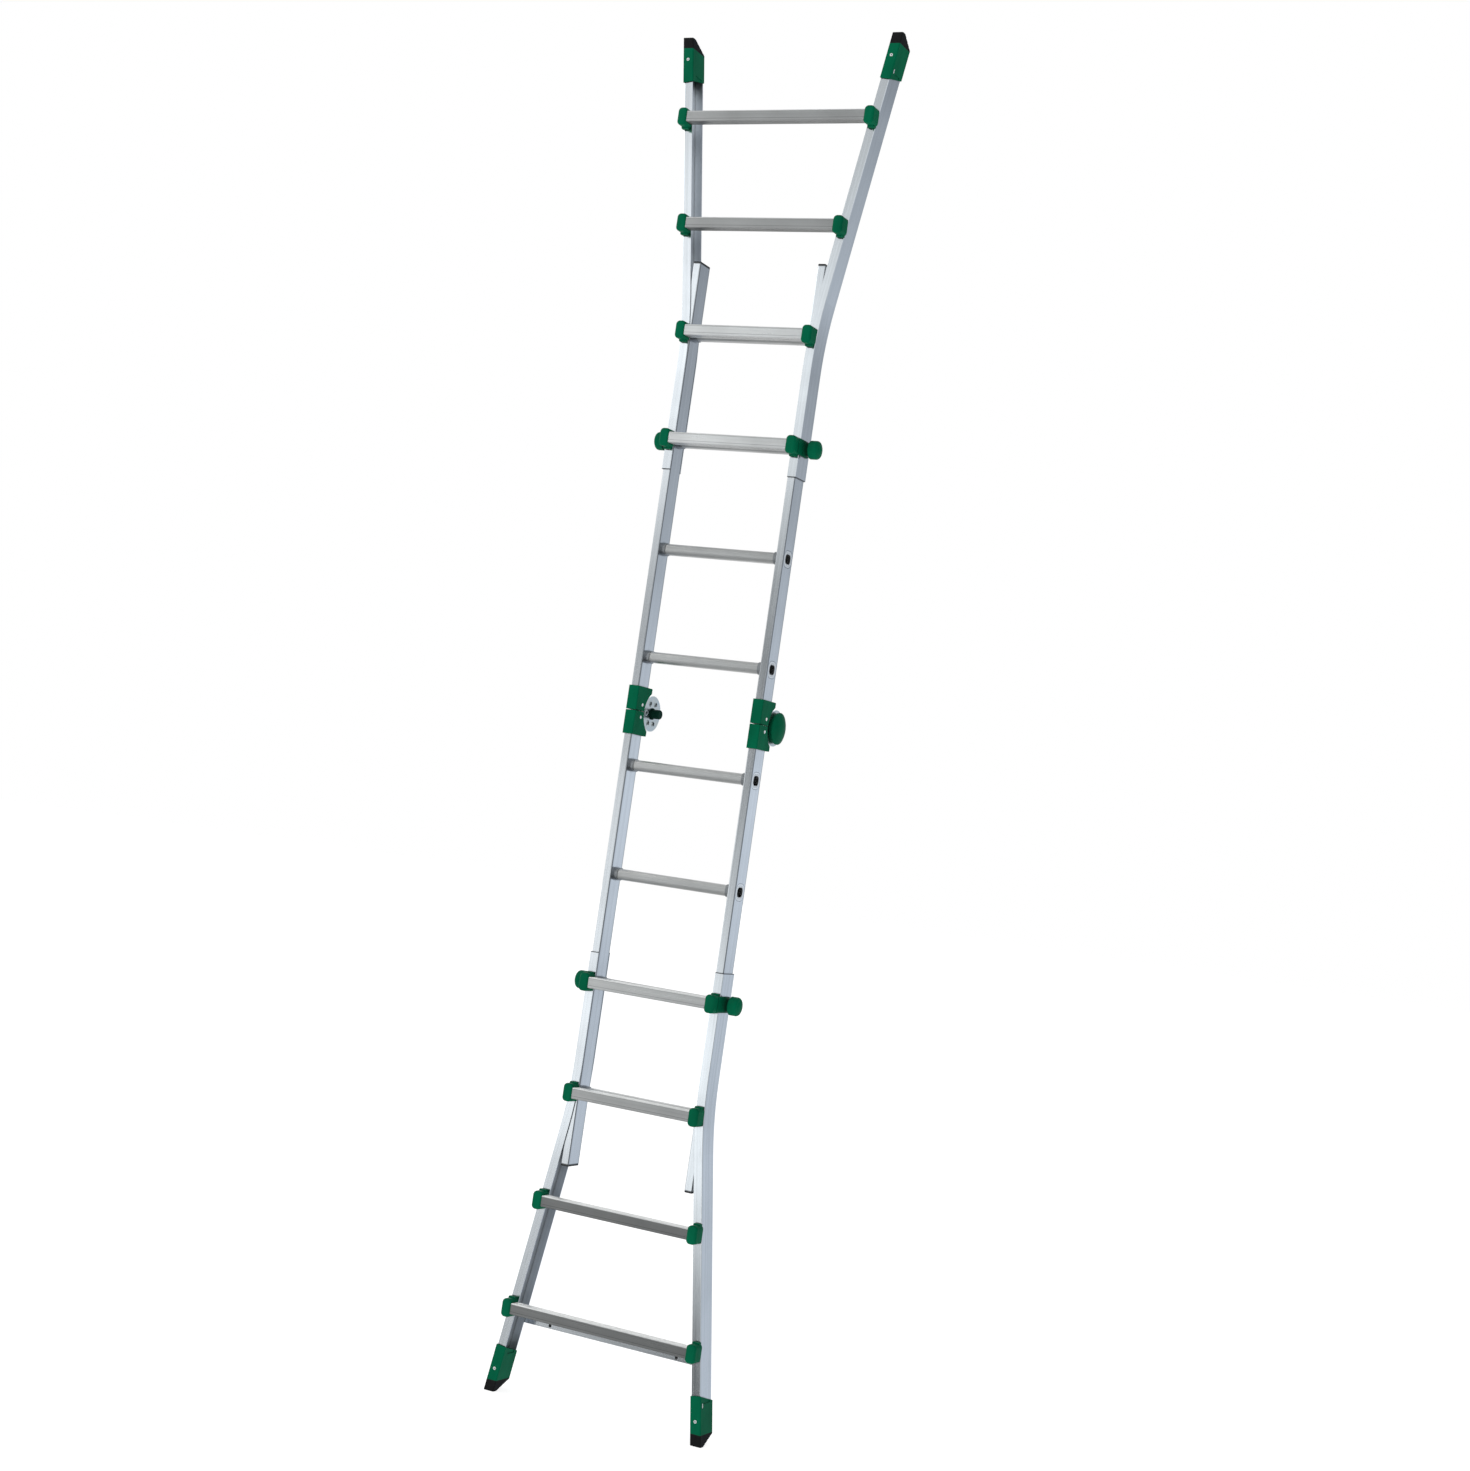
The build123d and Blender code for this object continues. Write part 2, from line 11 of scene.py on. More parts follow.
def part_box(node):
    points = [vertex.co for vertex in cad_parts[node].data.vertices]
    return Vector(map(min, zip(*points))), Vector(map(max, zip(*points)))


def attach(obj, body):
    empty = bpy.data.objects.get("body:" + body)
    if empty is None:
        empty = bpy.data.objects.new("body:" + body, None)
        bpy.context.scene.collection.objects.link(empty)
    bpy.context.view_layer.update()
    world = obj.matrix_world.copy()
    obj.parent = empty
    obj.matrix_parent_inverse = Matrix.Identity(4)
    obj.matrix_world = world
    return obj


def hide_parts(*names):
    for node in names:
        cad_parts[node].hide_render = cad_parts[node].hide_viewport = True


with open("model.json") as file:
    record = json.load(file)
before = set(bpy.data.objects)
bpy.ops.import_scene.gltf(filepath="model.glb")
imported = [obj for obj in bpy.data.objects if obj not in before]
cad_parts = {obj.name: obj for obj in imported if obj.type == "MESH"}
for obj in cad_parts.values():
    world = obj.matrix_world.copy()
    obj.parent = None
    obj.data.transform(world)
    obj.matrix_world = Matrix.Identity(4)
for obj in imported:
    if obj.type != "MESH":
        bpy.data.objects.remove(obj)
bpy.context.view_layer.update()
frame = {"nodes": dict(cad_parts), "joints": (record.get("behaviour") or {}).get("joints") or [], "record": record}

bl_info = {
    "name": "Telescopic Hinged Ladder",
    "version": (1, 0, 0),
    "blender": (4, 5, 0),
    "location": "3D View > Sidebar > Ladder",
    "description": "Finishes for a telescopic hinged ladder with flared ends",
    "category": "Object",
}

HALVES = ("lower", "upper")
SIDES = ("left", "right")
HINGE = Vector(next(joint["pos_m"] for joint in frame["joints"] if joint["name"] == "fold"))

# the box of an outer and of an inner stile, and the distance from one rung to the next
_, OUTER_STILE_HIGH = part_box("lower_outer_stile_right")
INNER_STILE_LOW, INNER_STILE_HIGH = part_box("lower_inner_stile_right")
INNER_STILE_MIDDLE = (INNER_STILE_LOW + INNER_STILE_HIGH) / 2
RUNG_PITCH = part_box("lower_outer_rung_1")[0].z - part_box("lower_outer_rung_2")[0].z

# painted light and shade of each outer rung, from the hinge outwards: lighter or darker as light falls on it
RUNG_PAINTED_LIGHT = {"lower": (1.05, 0.92, 0.44, 0.44), "upper": (1.5, 1.5, 0.86, 0.87)}

# how rough each finish is, and how much of the metal is bare on the milky rivets and catches
STILE_ROUGHNESS = 0.11
BRACE_ROUGHNESS = 0.12
RUNG_ROUGHNESS = 0.26
GREEN_ROUGHNESS = 0.40
ROD_ROUGHNESS = 0.45
PLUG_ROUGHNESS = 0.50
BUSH_ROUGHNESS = 0.55
MILKY_BARE = 0.4

# to how far on either side the edges of painted marks are blurred, in metres
CRISP_BLUR = 0.0002
PLAIN_BLUR = 0.0004
SOFT_BLUR = 0.0012
# how deep under a face a point still counts as part of it, in metres
SKIN = 0.001
# rays that look for edges and corners near a point
NEARBY_RAYS = 6

# steps round the pieces made here, and points round a rim's section
ROUND_STEPS = 32
RIVET_STEPS = 40
RIM_POINTS = 8
LOCK_HOLES = 6
# points nearer than this are welded, in metres
WELD_DISTANCE = 1e-6
MM_PER_M = 1000

# bands of light and shade on the studio's walls, as the bare metal mirrors them:
# the tint of a wall, and its tones by height, from -1 straight down to 1 straight up
FRONT_WALL = ((0.95, 1.0, 1.03), (
    (-0.21, 0.04), (-0.18, 0.18), (-0.15, 0.79), (-0.12, 0.97), (-0.08, 0.80), (-0.04, 0.40),
    (0.0, 0.30), (0.03, 0.12), (0.12, 0.13), (0.155, 0.49), (0.20, 0.82), (0.25, 0.42), (0.45, 0.26)))
LEFT_WALL = ((0.96, 1.0, 1.03), (
    (-0.60, 0.28), (-0.21, 0.43), (-0.15, 0.37), (-0.10, 0.78), (0.0, 0.64), (0.035, 0.69), (0.07, 0.29),
    (0.11, 0.35), (0.19, 0.87), (0.23, 0.96), (0.27, 0.73), (0.32, 0.42), (0.60, 0.36)))
BACK_WALL = ((0.90, 1.0, 1.13), (
    (-0.20, 0.40), (-0.03, 0.37), (0.02, 0.43), (0.05, 0.38), (0.09, 0.30), (0.14, 0.24), (0.22, 0.18),
    (0.75, 0.45)))
REAR_WALL = ((0.98, 1.0, 1.02), ((-0.30, 0.68), (-0.15, 0.48), (0.15, 0.56), (0.30, 0.95)))
NEAR_WALL = ((0.94, 1.0, 1.06), ((-0.20, 0.15), (0.10, 0.38), (0.25, 0.59)))

# the ways to the walls and to the soft light, each with how well a direction has to agree with it,
# from -1 for straight against to 1 for straight along, for the first and for the full share of it
LEFT_WAY = ((-0.9, 0.436, 0.0), 0.01, 0.05)
BACK_WAY = ((0.437, 0.898, 0.0), 0.0, 0.6)
REAR_WAY = ((-1.0, 0.0, 0.0), -0.1, 0.2)
NEAR_WAY = ((0.75, -0.66, 0.0), 0.55, 0.92)
SOFT_WAY = ((-0.70, -0.50, 0.51), -1.0, 1.0)


def pair(name):
    """The left and right node of one name, for one half or for the hinge."""
    return [name + "_" + side for side in SIDES]


def in_halves(name):
    """A node of the lower half and its twin of the upper half."""
    return [half + "_" + name for half in HALVES]


def in_halves_and_sides(name):
    """The four nodes of a piece that each half has on both sides."""
    return [node for half in HALVES for node in pair(half + "_" + name)]


class LadderFinish(bpy.types.PropertyGroup):
    """Colours and surface sizes of the ladder."""

    stile_colour: FloatVectorProperty(
        name="Stile aluminium", description="Colour of the extruded stiles",
        subtype="COLOR", size=3, min=0.0, max=1.0, default=(0.80, 0.82, 0.84))
    rung_colour: FloatVectorProperty(
        name="Rung aluminium", description="Colour of the drawn rungs",
        subtype="COLOR", size=3, min=0.0, max=1.0, default=(0.66, 0.655, 0.64))
    collar_colour: FloatVectorProperty(
        name="Rung collar", description="Colour of the pressed collar at each end of an inner rung",
        subtype="COLOR", size=3, min=0.0, max=1.0, default=(0.36, 0.37, 0.38))
    green_colour: FloatVectorProperty(
        name="Green plastic", description="Colour of caps, sleeves, boots, lock brackets and knobs",
        subtype="COLOR", size=3, min=0.0, max=1.0, default=(0.0, 0.112, 0.052))
    dark_green_colour: FloatVectorProperty(
        name="Dark green plastic", description="Colour of the release plungers and the hinge bushes",
        subtype="COLOR", size=3, min=0.0, max=1.0, default=(0.004, 0.030, 0.020))
    plug_colour: FloatVectorProperty(
        name="Plug plastic", description="Colour of the plugs in the inner stiles and the brace bar",
        subtype="COLOR", size=3, min=0.0, max=1.0, default=(0.030, 0.031, 0.033))
    rubber_colour: FloatVectorProperty(
        name="Rubber", description="Colour of the rubber tips",
        subtype="COLOR", size=3, min=0.0, max=1.0, default=(0.006, 0.0065, 0.007))
    zinc_colour: FloatVectorProperty(
        name="Zinc plating", description="Colour of the hinge plates and lock pins",
        subtype="COLOR", size=3, min=0.0, max=1.0, default=(0.80, 0.83, 0.82))
    rivet_colour: FloatVectorProperty(
        name="Rivets", description="Colour of the rivets",
        subtype="COLOR", size=3, min=0.0, max=1.0, default=(0.94, 0.94, 0.93))
    # the stems are real; their near black colour is painted shade of the hollow they sit in
    stem_shade_colour: FloatVectorProperty(
        name="Darkened steel", description="Colour of the broken stems in the blind rivets",
        subtype="COLOR", size=3, min=0.0, max=1.0, default=(0.06, 0.06, 0.065))
    catch_colour: FloatVectorProperty(
        name="Boot catches", description="Colour of the bright catches in the slots of the boots",
        subtype="COLOR", size=3, min=0.0, max=1.0, default=(0.88, 0.90, 0.92))
    metal_edge: FloatProperty(
        name="Metal edge", description="Radius that edges of metal pieces are eased to",
        unit="LENGTH", min=0.0, default=0.0005)
    plastic_edge: FloatProperty(
        name="Plastic edge", description="Radius that edges of moulded pieces are eased to",
        unit="LENGTH", min=0.0, default=0.0009)
    bend_distance: FloatProperty(
        name="Bend", description="Distance from the hinge at which the outer stiles bend outwards",
        unit="LENGTH", min=0.0, default=0.983)
    flare_angle: FloatProperty(
        name="Flare", description="Angle of the flared run of the outer stiles",
        subtype="ANGLE", min=0.0, default=math.radians(8.6))
    flange_distance: FloatProperty(
        name="Flange middle", description="Distance of an outer stile's middle from the ladder's middle",
        unit="LENGTH", min=0.0, default=0.17825)
    catch_place: FloatVectorProperty(
        name="Catch place", description="Middle of a boot catch, out, back and along from the bend",
        subtype="XYZ", unit="LENGTH", size=3, default=(0.01305, -0.0942, 0.6905))
    catch_size: FloatVectorProperty(
        name="Catch size", description="Height, width and length of a boot catch",
        subtype="XYZ", unit="LENGTH", size=3, default=(0.0026, 0.0038, 0.0112))
    plug_clearance: FloatProperty(
        name="Plug clearance", description="Gap round a plug in a hole of the brace bar",
        unit="LENGTH", min=0.0, default=0.0001)
    # a painted shadow where an outer stile's cut end meets the inner stile
    mouth_shadow_length: FloatProperty(
        name="Mouth line", description="Length of the dark cut end of an outer stile",
        unit="LENGTH", min=0.0, default=0.0018)
    cut_line: FloatProperty(
        name="Cut line", description="Length of the dark cut end of an inner stile",
        unit="LENGTH", min=0.0, default=0.004)
    # painted shade along the rounded corners of an inner stile
    corner_shade_width: FloatVectorProperty(
        name="Corner line", description="Widths of a dark corner on the front and side of an inner stile",
        subtype="XYZ", unit="LENGTH", size=2, default=(0.0016, 0.005))
    # how far the painted shade in corners between pieces reaches
    crevice_shade_reach: FloatProperty(
        name="Crevice reach", description="How far painted_shade reaches out of a corner",
        unit="LENGTH", min=0.0, default=0.006)
    # the outer part of a lock bracket's boss carries a painted shade
    boss_length: FloatProperty(
        name="Boss length", description="Length of the greased boss that a lock knob slides on",
        unit="LENGTH", min=0.0, default=0.012)
    rung_end: FloatVectorProperty(
        name="Rung end", description="Depth, height and corner radius of a rung's end in an inner stile",
        subtype="XYZ", unit="LENGTH", size=3, default=(0.033, 0.028, 0.011))
    rung_bead: FloatProperty(
        name="Rung bead", description="Width of the bright bead pressed round a rung's end in the stile",
        unit="LENGTH", min=0.0, default=0.0075)
    # a painted highlight along the top of each outer rung
    highlight_band: FloatProperty(
        name="Highlight edge", description="Height of the band highlighted bright at the top of an outer rung",
        unit="LENGTH", min=0.0, default=0.0035)
    # painted shade lines along the outer rungs and round the beads
    shade_line_width: FloatProperty(
        name="Dark line", description="Half width of the dark lines along outer rungs and round the beads",
        unit="LENGTH", min=0.0, default=0.0006)
    collar_length: FloatProperty(
        name="Collar length", description="Length of the collar at each end of an inner rung",
        unit="LENGTH", min=0.0, default=0.012)
    hole_circle: FloatProperty(
        name="Hole circle", description="Radius of the circle of lock holes in a hinge plate",
        unit="LENGTH", min=0.0, default=0.029)
    hole_radius: FloatProperty(
        name="Lock hole", description="Radius of a lock hole in a hinge plate",
        unit="LENGTH", min=0.0, default=0.005)
    hole_rim: FloatProperty(
        name="Hole rim", description="Radius of the raised rim round a lock hole",
        unit="LENGTH", min=0.0, default=0.0015)


class LadderStage(bpy.types.PropertyGroup):
    """Floor, light and camera."""

    floor_colour: FloatVectorProperty(
        name="Floor", description="Colour of the floor",
        subtype="COLOR", size=3, min=0.0, max=1.0, default=(0.45, 0.45, 0.45))
    floor_glow: FloatProperty(
        name="Floor glow", description="Light that comes through the floor, as on a light table",
        min=0.0, default=0.80)
    floor_radius: FloatProperty(
        name="Floor radius", description="Radius of the round floor",
        unit="LENGTH", min=1.0, default=60.0)
    room_light: FloatProperty(
        name="Room light", description="Strength of the walls as the metal mirrors them",
        min=0.0, default=1.60)
    soft_light: FloatProperty(
        name="Soft light", description="Strength of the soft light from the front left on matt surfaces",
        min=0.0, default=1.0)
    key_power: FloatProperty(
        name="Key light", description="Power of the large light at the front left",
        unit="POWER", min=0.0, default=60.0)
    key_place: FloatVectorProperty(
        name="Key light place", description="Where the key light hangs",
        subtype="XYZ", unit="LENGTH", size=3, default=(-4.6, -2.6, 5.6))
    key_size: FloatProperty(
        name="Key light size", description="Side of the square key light",
        unit="LENGTH", min=0.0, default=3.2)
    key_colour: FloatVectorProperty(
        name="Key light colour", description="Colour of the key light",
        subtype="COLOR", size=3, min=0.0, max=1.0, default=(1.0, 0.99, 0.97))
    side_power: FloatProperty(
        name="Side light", description="Power of the light at the back right",
        unit="POWER", min=0.0, default=3.0)
    side_place: FloatVectorProperty(
        name="Side light place", description="Where the side light hangs",
        subtype="XYZ", unit="LENGTH", size=3, default=(3.6, 4.2, 2.6))
    side_size: FloatProperty(
        name="Side light size", description="Side of the square side light",
        unit="LENGTH", min=0.0, default=3.4)
    side_colour: FloatVectorProperty(
        name="Side light colour", description="Colour of the side light",
        subtype="COLOR", size=3, min=0.0, max=1.0, default=(0.88, 0.94, 1.0))
    camera_place: FloatVectorProperty(
        name="Camera place", description="Where the camera stands, from the middle of the hinge line",
        subtype="XYZ", unit="LENGTH", size=3, default=(2.6576, -5.3005, -0.3224))
    camera_aim: FloatVectorProperty(
        name="Camera aim", description="The point in the middle of the picture, from the same place",
        subtype="XYZ", unit="LENGTH", size=3, default=(0.1115, -0.0720, -0.0336))
    camera_roll: FloatProperty(
        name="Camera roll", description="Turn of the camera about its line of sight",
        subtype="ANGLE", default=math.radians(8.24))
    focal_length: FloatProperty(
        name="Focal length", description="Focal length of the camera, in millimetres",
        min=1.0, default=56.885)
    sensor_width: FloatProperty(
        name="Sensor width", description="Width of the camera's sensor, in millimetres",
        min=1.0, default=36.0)
    sight_end: FloatProperty(
        name="Sight end", description="How far the camera sees",
        unit="LENGTH", min=1.0, default=200.0)


# materials


def start_material(name):
    """An empty material with a shader, and its node tree."""
    material = bpy.data.materials.new(name)
    material.use_nodes = True
    tree = material.node_tree
    tree.nodes.clear()
    output = tree.nodes.new("ShaderNodeOutputMaterial")
    shader = tree.nodes.new("ShaderNodeBsdfPrincipled")
    tree.links.new(shader.outputs["BSDF"], output.inputs["Surface"])
    return material, tree, shader


def join(tree, socket, value):
    """Wire a socket to another one, or set its value."""
    if isinstance(value, bpy.types.NodeSocket):
        tree.links.new(value, socket)
    else:
        socket.default_value = value


def add_node(tree, kind, sockets=None, **settings):
    """A node with its settings and with its sockets set or wired."""
    node = tree.nodes.new("ShaderNode" + kind)
    for name, value in settings.items():
        setattr(node, name, value)
    for socket, value in (sockets or {}).items():
        join(tree, node.inputs[socket], value)
    return node


def maths(tree, operation, first, second=0.0):
    """The result of a sum with one or two values."""
    return add_node(tree, "Math", {0: first, 1: second}, operation=operation).outputs[0]


def apart(tree, first, second):
    """How far two values lie apart."""
    return maths(tree, "ABSOLUTE", maths(tree, "SUBTRACT", first, second))


def object_place(tree):
    """The point of the surface in the ladder's own frame."""
    return add_node(tree, "TexCoord").outputs["Object"]


def object_axes(tree):
    """The X, Y and Z of that point."""
    return add_node(tree, "SeparateXYZ", {0: object_place(tree)}).outputs


def straightened_place(tree, finish):
    """The point with the flare of the outer stiles taken out, so that a pattern follows them."""
    axes = object_axes(tree)
    away = apart(tree, axes["Z"], HINGE.z)
    past_bend = maths(tree, "MAXIMUM", maths(tree, "SUBTRACT", away, finish.bend_distance))
    shift = maths(tree, "MULTIPLY", past_bend, math.tan(finish.flare_angle))
    signed = maths(tree, "MULTIPLY", shift, maths(tree, "SIGN", axes["X"]))
    across = maths(tree, "SUBTRACT", axes["X"], signed)
    return add_node(tree, "CombineXYZ", {0: across, 1: axes["Y"], 2: axes["Z"]}).outputs[0]


def noise(tree, place, scale, detail=3.0, roughness=0.5):
    """Cloudy noise from 0 to 1, the scale given per axis."""
    stretched = add_node(tree, "Mapping", {"Vector": place, "Scale": scale})
    sockets = {"Vector": stretched.outputs[0], "Scale": 1.0, "Detail": detail, "Roughness": roughness}
    return add_node(tree, "TexNoise", sockets).outputs[0]


def drawn_scale(run, across, along):
    """The scale of a noise that is drawn out along an axis, given as X, Y or Z."""
    return [along if axis == run else across for axis in "XYZ"]


def spread(tree, value, low, high, to_low=0.0, to_high=1.0):
    """A value stretched from one range to another and kept inside it."""
    sockets = {"Value": value, "From Min": low, "From Max": high, "To Min": to_low, "To Max": to_high}
    return add_node(tree, "MapRange", sockets, clamp=True).outputs[0]


def stepped(tree, value, edge, blur, before=0.0, after=1.0):
    """A share that changes where a value passes an edge, blurred to both sides of it."""
    return spread(tree, value, edge - blur, edge + blur, before, after)


def blended(tree, share, first, second):
    """Two colours mixed by a share."""
    node = add_node(tree, "Mix", data_type="RGBA")
    join(tree, node.inputs["Factor"], share)
    join(tree, node.inputs[6], first)
    join(tree, node.inputs[7], second)
    return node.outputs[2]


def stained(tree, tone, share, most, colour):
    """A tone with another colour over it, by a share times the most there can be of it."""
    return blended(tree, maths(tree, "MULTIPLY", share, most), tone, colour)


def scaled(colour, share):
    """A colour made darker or lighter, as a shader socket takes it."""
    return tuple(min(1.0, part * share) for part in colour) + (1.0,)


def paled(colour, share, pale):
    """A colour made darker or lighter with some white over it, as a shader socket takes it."""
    return tuple(part * share + pale for part in colour) + (1.0,)


def tone_of(shader):
    """The colour that is wired to a shader so far."""
    return shader.inputs["Base Color"].links[0].from_socket


def eased_edges(tree, radius):
    """The surface's direction with its edges eased, as the light sees it."""
    return add_node(tree, "Bevel", {"Radius": radius}, samples=NEARBY_RAYS).outputs[0]


def edge_share(tree, radius):
    """A share that grows from 0 on flat ground to 1 on an edge."""
    rounded = eased_edges(tree, radius)
    flat = add_node(tree, "NewGeometry").outputs["Normal"]
    both = add_node(tree, "VectorMath", {0: rounded, 1: flat}, operation="DOT_PRODUCT")
    level, sharp = 0.995, 0.80
    return spread(tree, both.outputs["Value"], level, sharp)


def crevice_shade_share(tree, reach):
    """Painted shade: a share that grows from 0 in the open to 1 deep in a corner between pieces, where shade
    falls.
    """
    occlusion = add_node(tree, "AmbientOcclusion", {"Distance": reach}, samples=NEARBY_RAYS)
    clear, deep = 0.85, 0.25
    return spread(tree, occlusion.outputs["AO"], clear, deep)


def relief(tree, height, strength, depth, under):
    """The surface's direction with a fine relief on it."""
    sockets = {"Height": height, "Strength": strength, "Distance": depth, "Normal": under}
    return add_node(tree, "Bump", sockets).outputs[0]


def drawn_metal(name, colour, finish, run, roughness, flared=False):
    """Extruded or drawn aluminium with fine lines along its run, which is X, Y or Z."""
    material, tree, shader = start_material(name)
    place = straightened_place(tree, finish) if flared else object_place(tree)
    lines = noise(tree, place, drawn_scale(run, 900.0, 2.5), 2.0)
    bands = noise(tree, place, drawn_scale(run, 130.0, 0.7), 2.0)
    scratches = noise(tree, place, drawn_scale(run, 260.0, 14.0), 4.0, 0.6)
    clouds = noise(tree, place, (7.0, 7.0, 7.0), 4.0)
    tone = blended(tree, spread(tree, bands, 0.3, 0.7), scaled(colour, 0.86), scaled(colour, 1.0))
    tone = blended(tree, spread(tree, lines, 0.35, 0.75, 0.0, 0.5), tone, scaled(colour, 1.1))
    tone = blended(tree, spread(tree, clouds, 0.45, 0.75, 0.0, 0.35), tone, scaled(colour, 0.72))
    tone = stained(tree, tone, spread(tree, scratches, 0.62, 0.72), 0.25, scaled(colour, 0.6))
    tone = stained(tree, tone, edge_share(tree, 2.5 * finish.metal_edge), 0.5, scaled(colour, 1.25))
    # painted shade in corners between pieces
    tone = stained(tree, tone, crevice_shade_share(tree, finish.crevice_shade_reach), 0.75, scaled(colour, 0.16))
    rough = maths(tree, "ADD", spread(tree, lines, 0.3, 0.7, roughness, roughness * 1.4),
                  spread(tree, clouds, 0.4, 0.8, 0.0, roughness * 0.4))
    # flared stiles also get a painted shadow at their mouth and rougher faces inside the channel
    if flared:
        tone = mouth_shadow(tree, finish, tone, scaled(colour, 0.10))
        rough = maths(tree, "ADD", rough, maths(tree, "MULTIPLY", inside_share(tree), 0.25))
    join(tree, shader.inputs["Base Color"], tone)
    join(tree, shader.inputs["Roughness"], rough)
    shader.inputs["Metallic"].default_value = 1.0
    under = eased_edges(tree, finish.metal_edge)
    join(tree, shader.inputs["Normal"], relief(tree, lines, 0.16, 0.0002, under))
    return material, tree, shader


def mouth_shadow(tree, finish, tone, dark):
    """The tone with a painted shadow line where the cut end of an outer stile meets the inner one."""
    away = apart(tree, object_axes(tree)["Z"], HINGE.z)
    mouth = HINGE.z - OUTER_STILE_HIGH.z
    share = stepped(tree, away, mouth + finish.mouth_shadow_length, CRISP_BLUR, 1.0, 0.0)
    return blended(tree, share, tone, dark)


def inside_share(tree):
    """A share that is 1 on the faces inside the channel of an outer stile, and 0 elsewhere."""
    axes = object_axes(tree)
    facing = add_node(tree, "SeparateXYZ", {0: add_node(tree, "TexCoord").outputs["Normal"]}).outputs
    depth = maths(tree, "SUBTRACT", axes["Y"], INNER_STILE_MIDDLE.y)
    shares = []
    for axis, out in (("X", axes["X"]), ("Y", depth)):
        outward = maths(tree, "MULTIPLY", facing[axis], maths(tree, "SIGN", out))
        shares.append(spread(tree, outward, -0.3, -0.6))
    return maths(tree, "MAXIMUM", *shares)


def brushed_metal(name, colour, finish):
    """Aluminium brushed along X, so that it spreads its gloss across the lines."""
    material, tree, shader = drawn_metal(name, colour, finish, "X", RUNG_ROUGHNESS)
    shader.inputs["Anisotropic"].default_value = 0.95
    shader.inputs["Anisotropic Rotation"].default_value = 0.25
    join(tree, shader.inputs["Tangent"], add_node(tree, "CombineXYZ", {0: 1.0}).outputs[0])
    return material, tree, shader


def highlit_rung_metal(name, colour, finish, bottom, top):
    """Brushed aluminium with a painted highlight along its upper edge and two dark lines of painted shade."""
    material, tree, shader = brushed_metal(name, colour, finish)
    height = object_axes(tree)["Z"]
    # the bright band at the top is a painted highlight, and the two dark lines are painted shade
    edge = top - finish.highlight_band
    highlight_share = stepped(tree, height, edge, SOFT_BLUR)
    tone = blended(tree, highlight_share, tone_of(shader), scaled(finish.rung_colour, 1.3))
    for line in (edge, bottom + 2.0 * finish.highlight_band):
        away = apart(tree, height, line)
        share = spread(tree, away, 0.5 * finish.shade_line_width, finish.shade_line_width, 0.75, 0.0)
        tone = blended(tree, share, tone, scaled(colour, 0.3))
    join(tree, shader.inputs["Base Color"], tone)
    return material


def collared_metal(name, colour, finish):
    """Brushed aluminium, dark along the collar at each end and bright where it enters the stile."""
    material, tree, shader = brushed_metal(name, colour, finish)
    reach = maths(tree, "ABSOLUTE", object_axes(tree)["X"])
    collar = stepped(tree, reach, INNER_STILE_LOW.x - finish.collar_length, PLAIN_BLUR)
    entered = stepped(tree, reach, INNER_STILE_LOW.x, CRISP_BLUR)
    tone = blended(tree, collar, tone_of(shader), scaled(finish.collar_colour, 1.0))
    tone = blended(tree, entered, tone, scaled(colour, 1.4))
    join(tree, shader.inputs["Base Color"], tone)
    return material


def rung_end_distance(tree, finish):
    """How far a point on the outside of an inner stile lies from the nearest rung's end."""
    axes = object_axes(tree)
    depth = apart(tree, axes["Y"], INNER_STILE_MIDDLE.y)
    half = RUNG_PITCH / 2
    height = maths(tree, "PINGPONG", maths(tree, "ADD", apart(tree, axes["Z"], HINGE.z), half), half)
    corner = finish.rung_end.z
    past = [maths(tree, "MAXIMUM", maths(tree, "SUBTRACT", value, size / 2 - corner))
            for value, size in ((depth, finish.rung_end.x), (height, finish.rung_end.y))]
    both = add_node(tree, "CombineXYZ", {0: past[0], 1: past[1]}).outputs[0]
    length = add_node(tree, "VectorMath", {0: both}, operation="LENGTH").outputs["Value"]
    return maths(tree, "SUBTRACT", length, corner)


def corner_shade_share(tree, finish):
    """Painted shade: a share that is 1 along the rounded corners of an inner stile, and 0 on its faces."""
    axes = object_axes(tree)
    reach = maths(tree, "ABSOLUTE", axes["X"])
    shares = []
    for axis, value in enumerate((reach, axes["Y"])):
        width = finish.corner_shade_width[axis]
        half = INNER_STILE_HIGH[axis] - INNER_STILE_MIDDLE[axis]
        away = apart(tree, value, INNER_STILE_MIDDLE[axis])
        shares.append(spread(tree, away, half - width, half - 0.7 * width))
    return maths(tree, "MINIMUM", *shares)


def beaded_metal(name, colour, finish):
    """Drawn aluminium with a bright bead round the end of each rung and a painted shade line round it, a dark cut
    end and painted shade along its corners.
    """
    material, tree, shader = drawn_metal(name, colour, finish, "Z", STILE_ROUGHNESS)
    axes = object_axes(tree)
    outside = stepped(tree, maths(tree, "ABSOLUTE", axes["X"]), INNER_STILE_HIGH.x - SKIN, CRISP_BLUR)
    distance = rung_end_distance(tree, finish)
    bead = stepped(tree, distance, finish.rung_bead - CRISP_BLUR, CRISP_BLUR, 0.9, 0.0)
    tone = stained(tree, tone_of(shader), bead, outside, scaled(colour, 1.25))
    # a painted shade line round each bead
    away = apart(tree, distance, finish.rung_bead)
    line = spread(tree, away, finish.shade_line_width, 2.0 * finish.shade_line_width, 0.8, 0.0)
    tone = stained(tree, tone, line, outside, scaled(colour, 0.3))
    free_end = HINGE.z - INNER_STILE_LOW.z
    away = apart(tree, axes["Z"], HINGE.z)
    cut = spread(tree, away, free_end - finish.cut_line, free_end - 0.5 * finish.cut_line)
    tone = blended(tree, cut, tone, scaled(colour, 0.12))
    # painted shade along the rounded corners
    tone = stained(tree, tone, corner_shade_share(tree, finish), 0.8, scaled(colour, 0.25))
    join(tree, shader.inputs["Base Color"], tone)
    return material


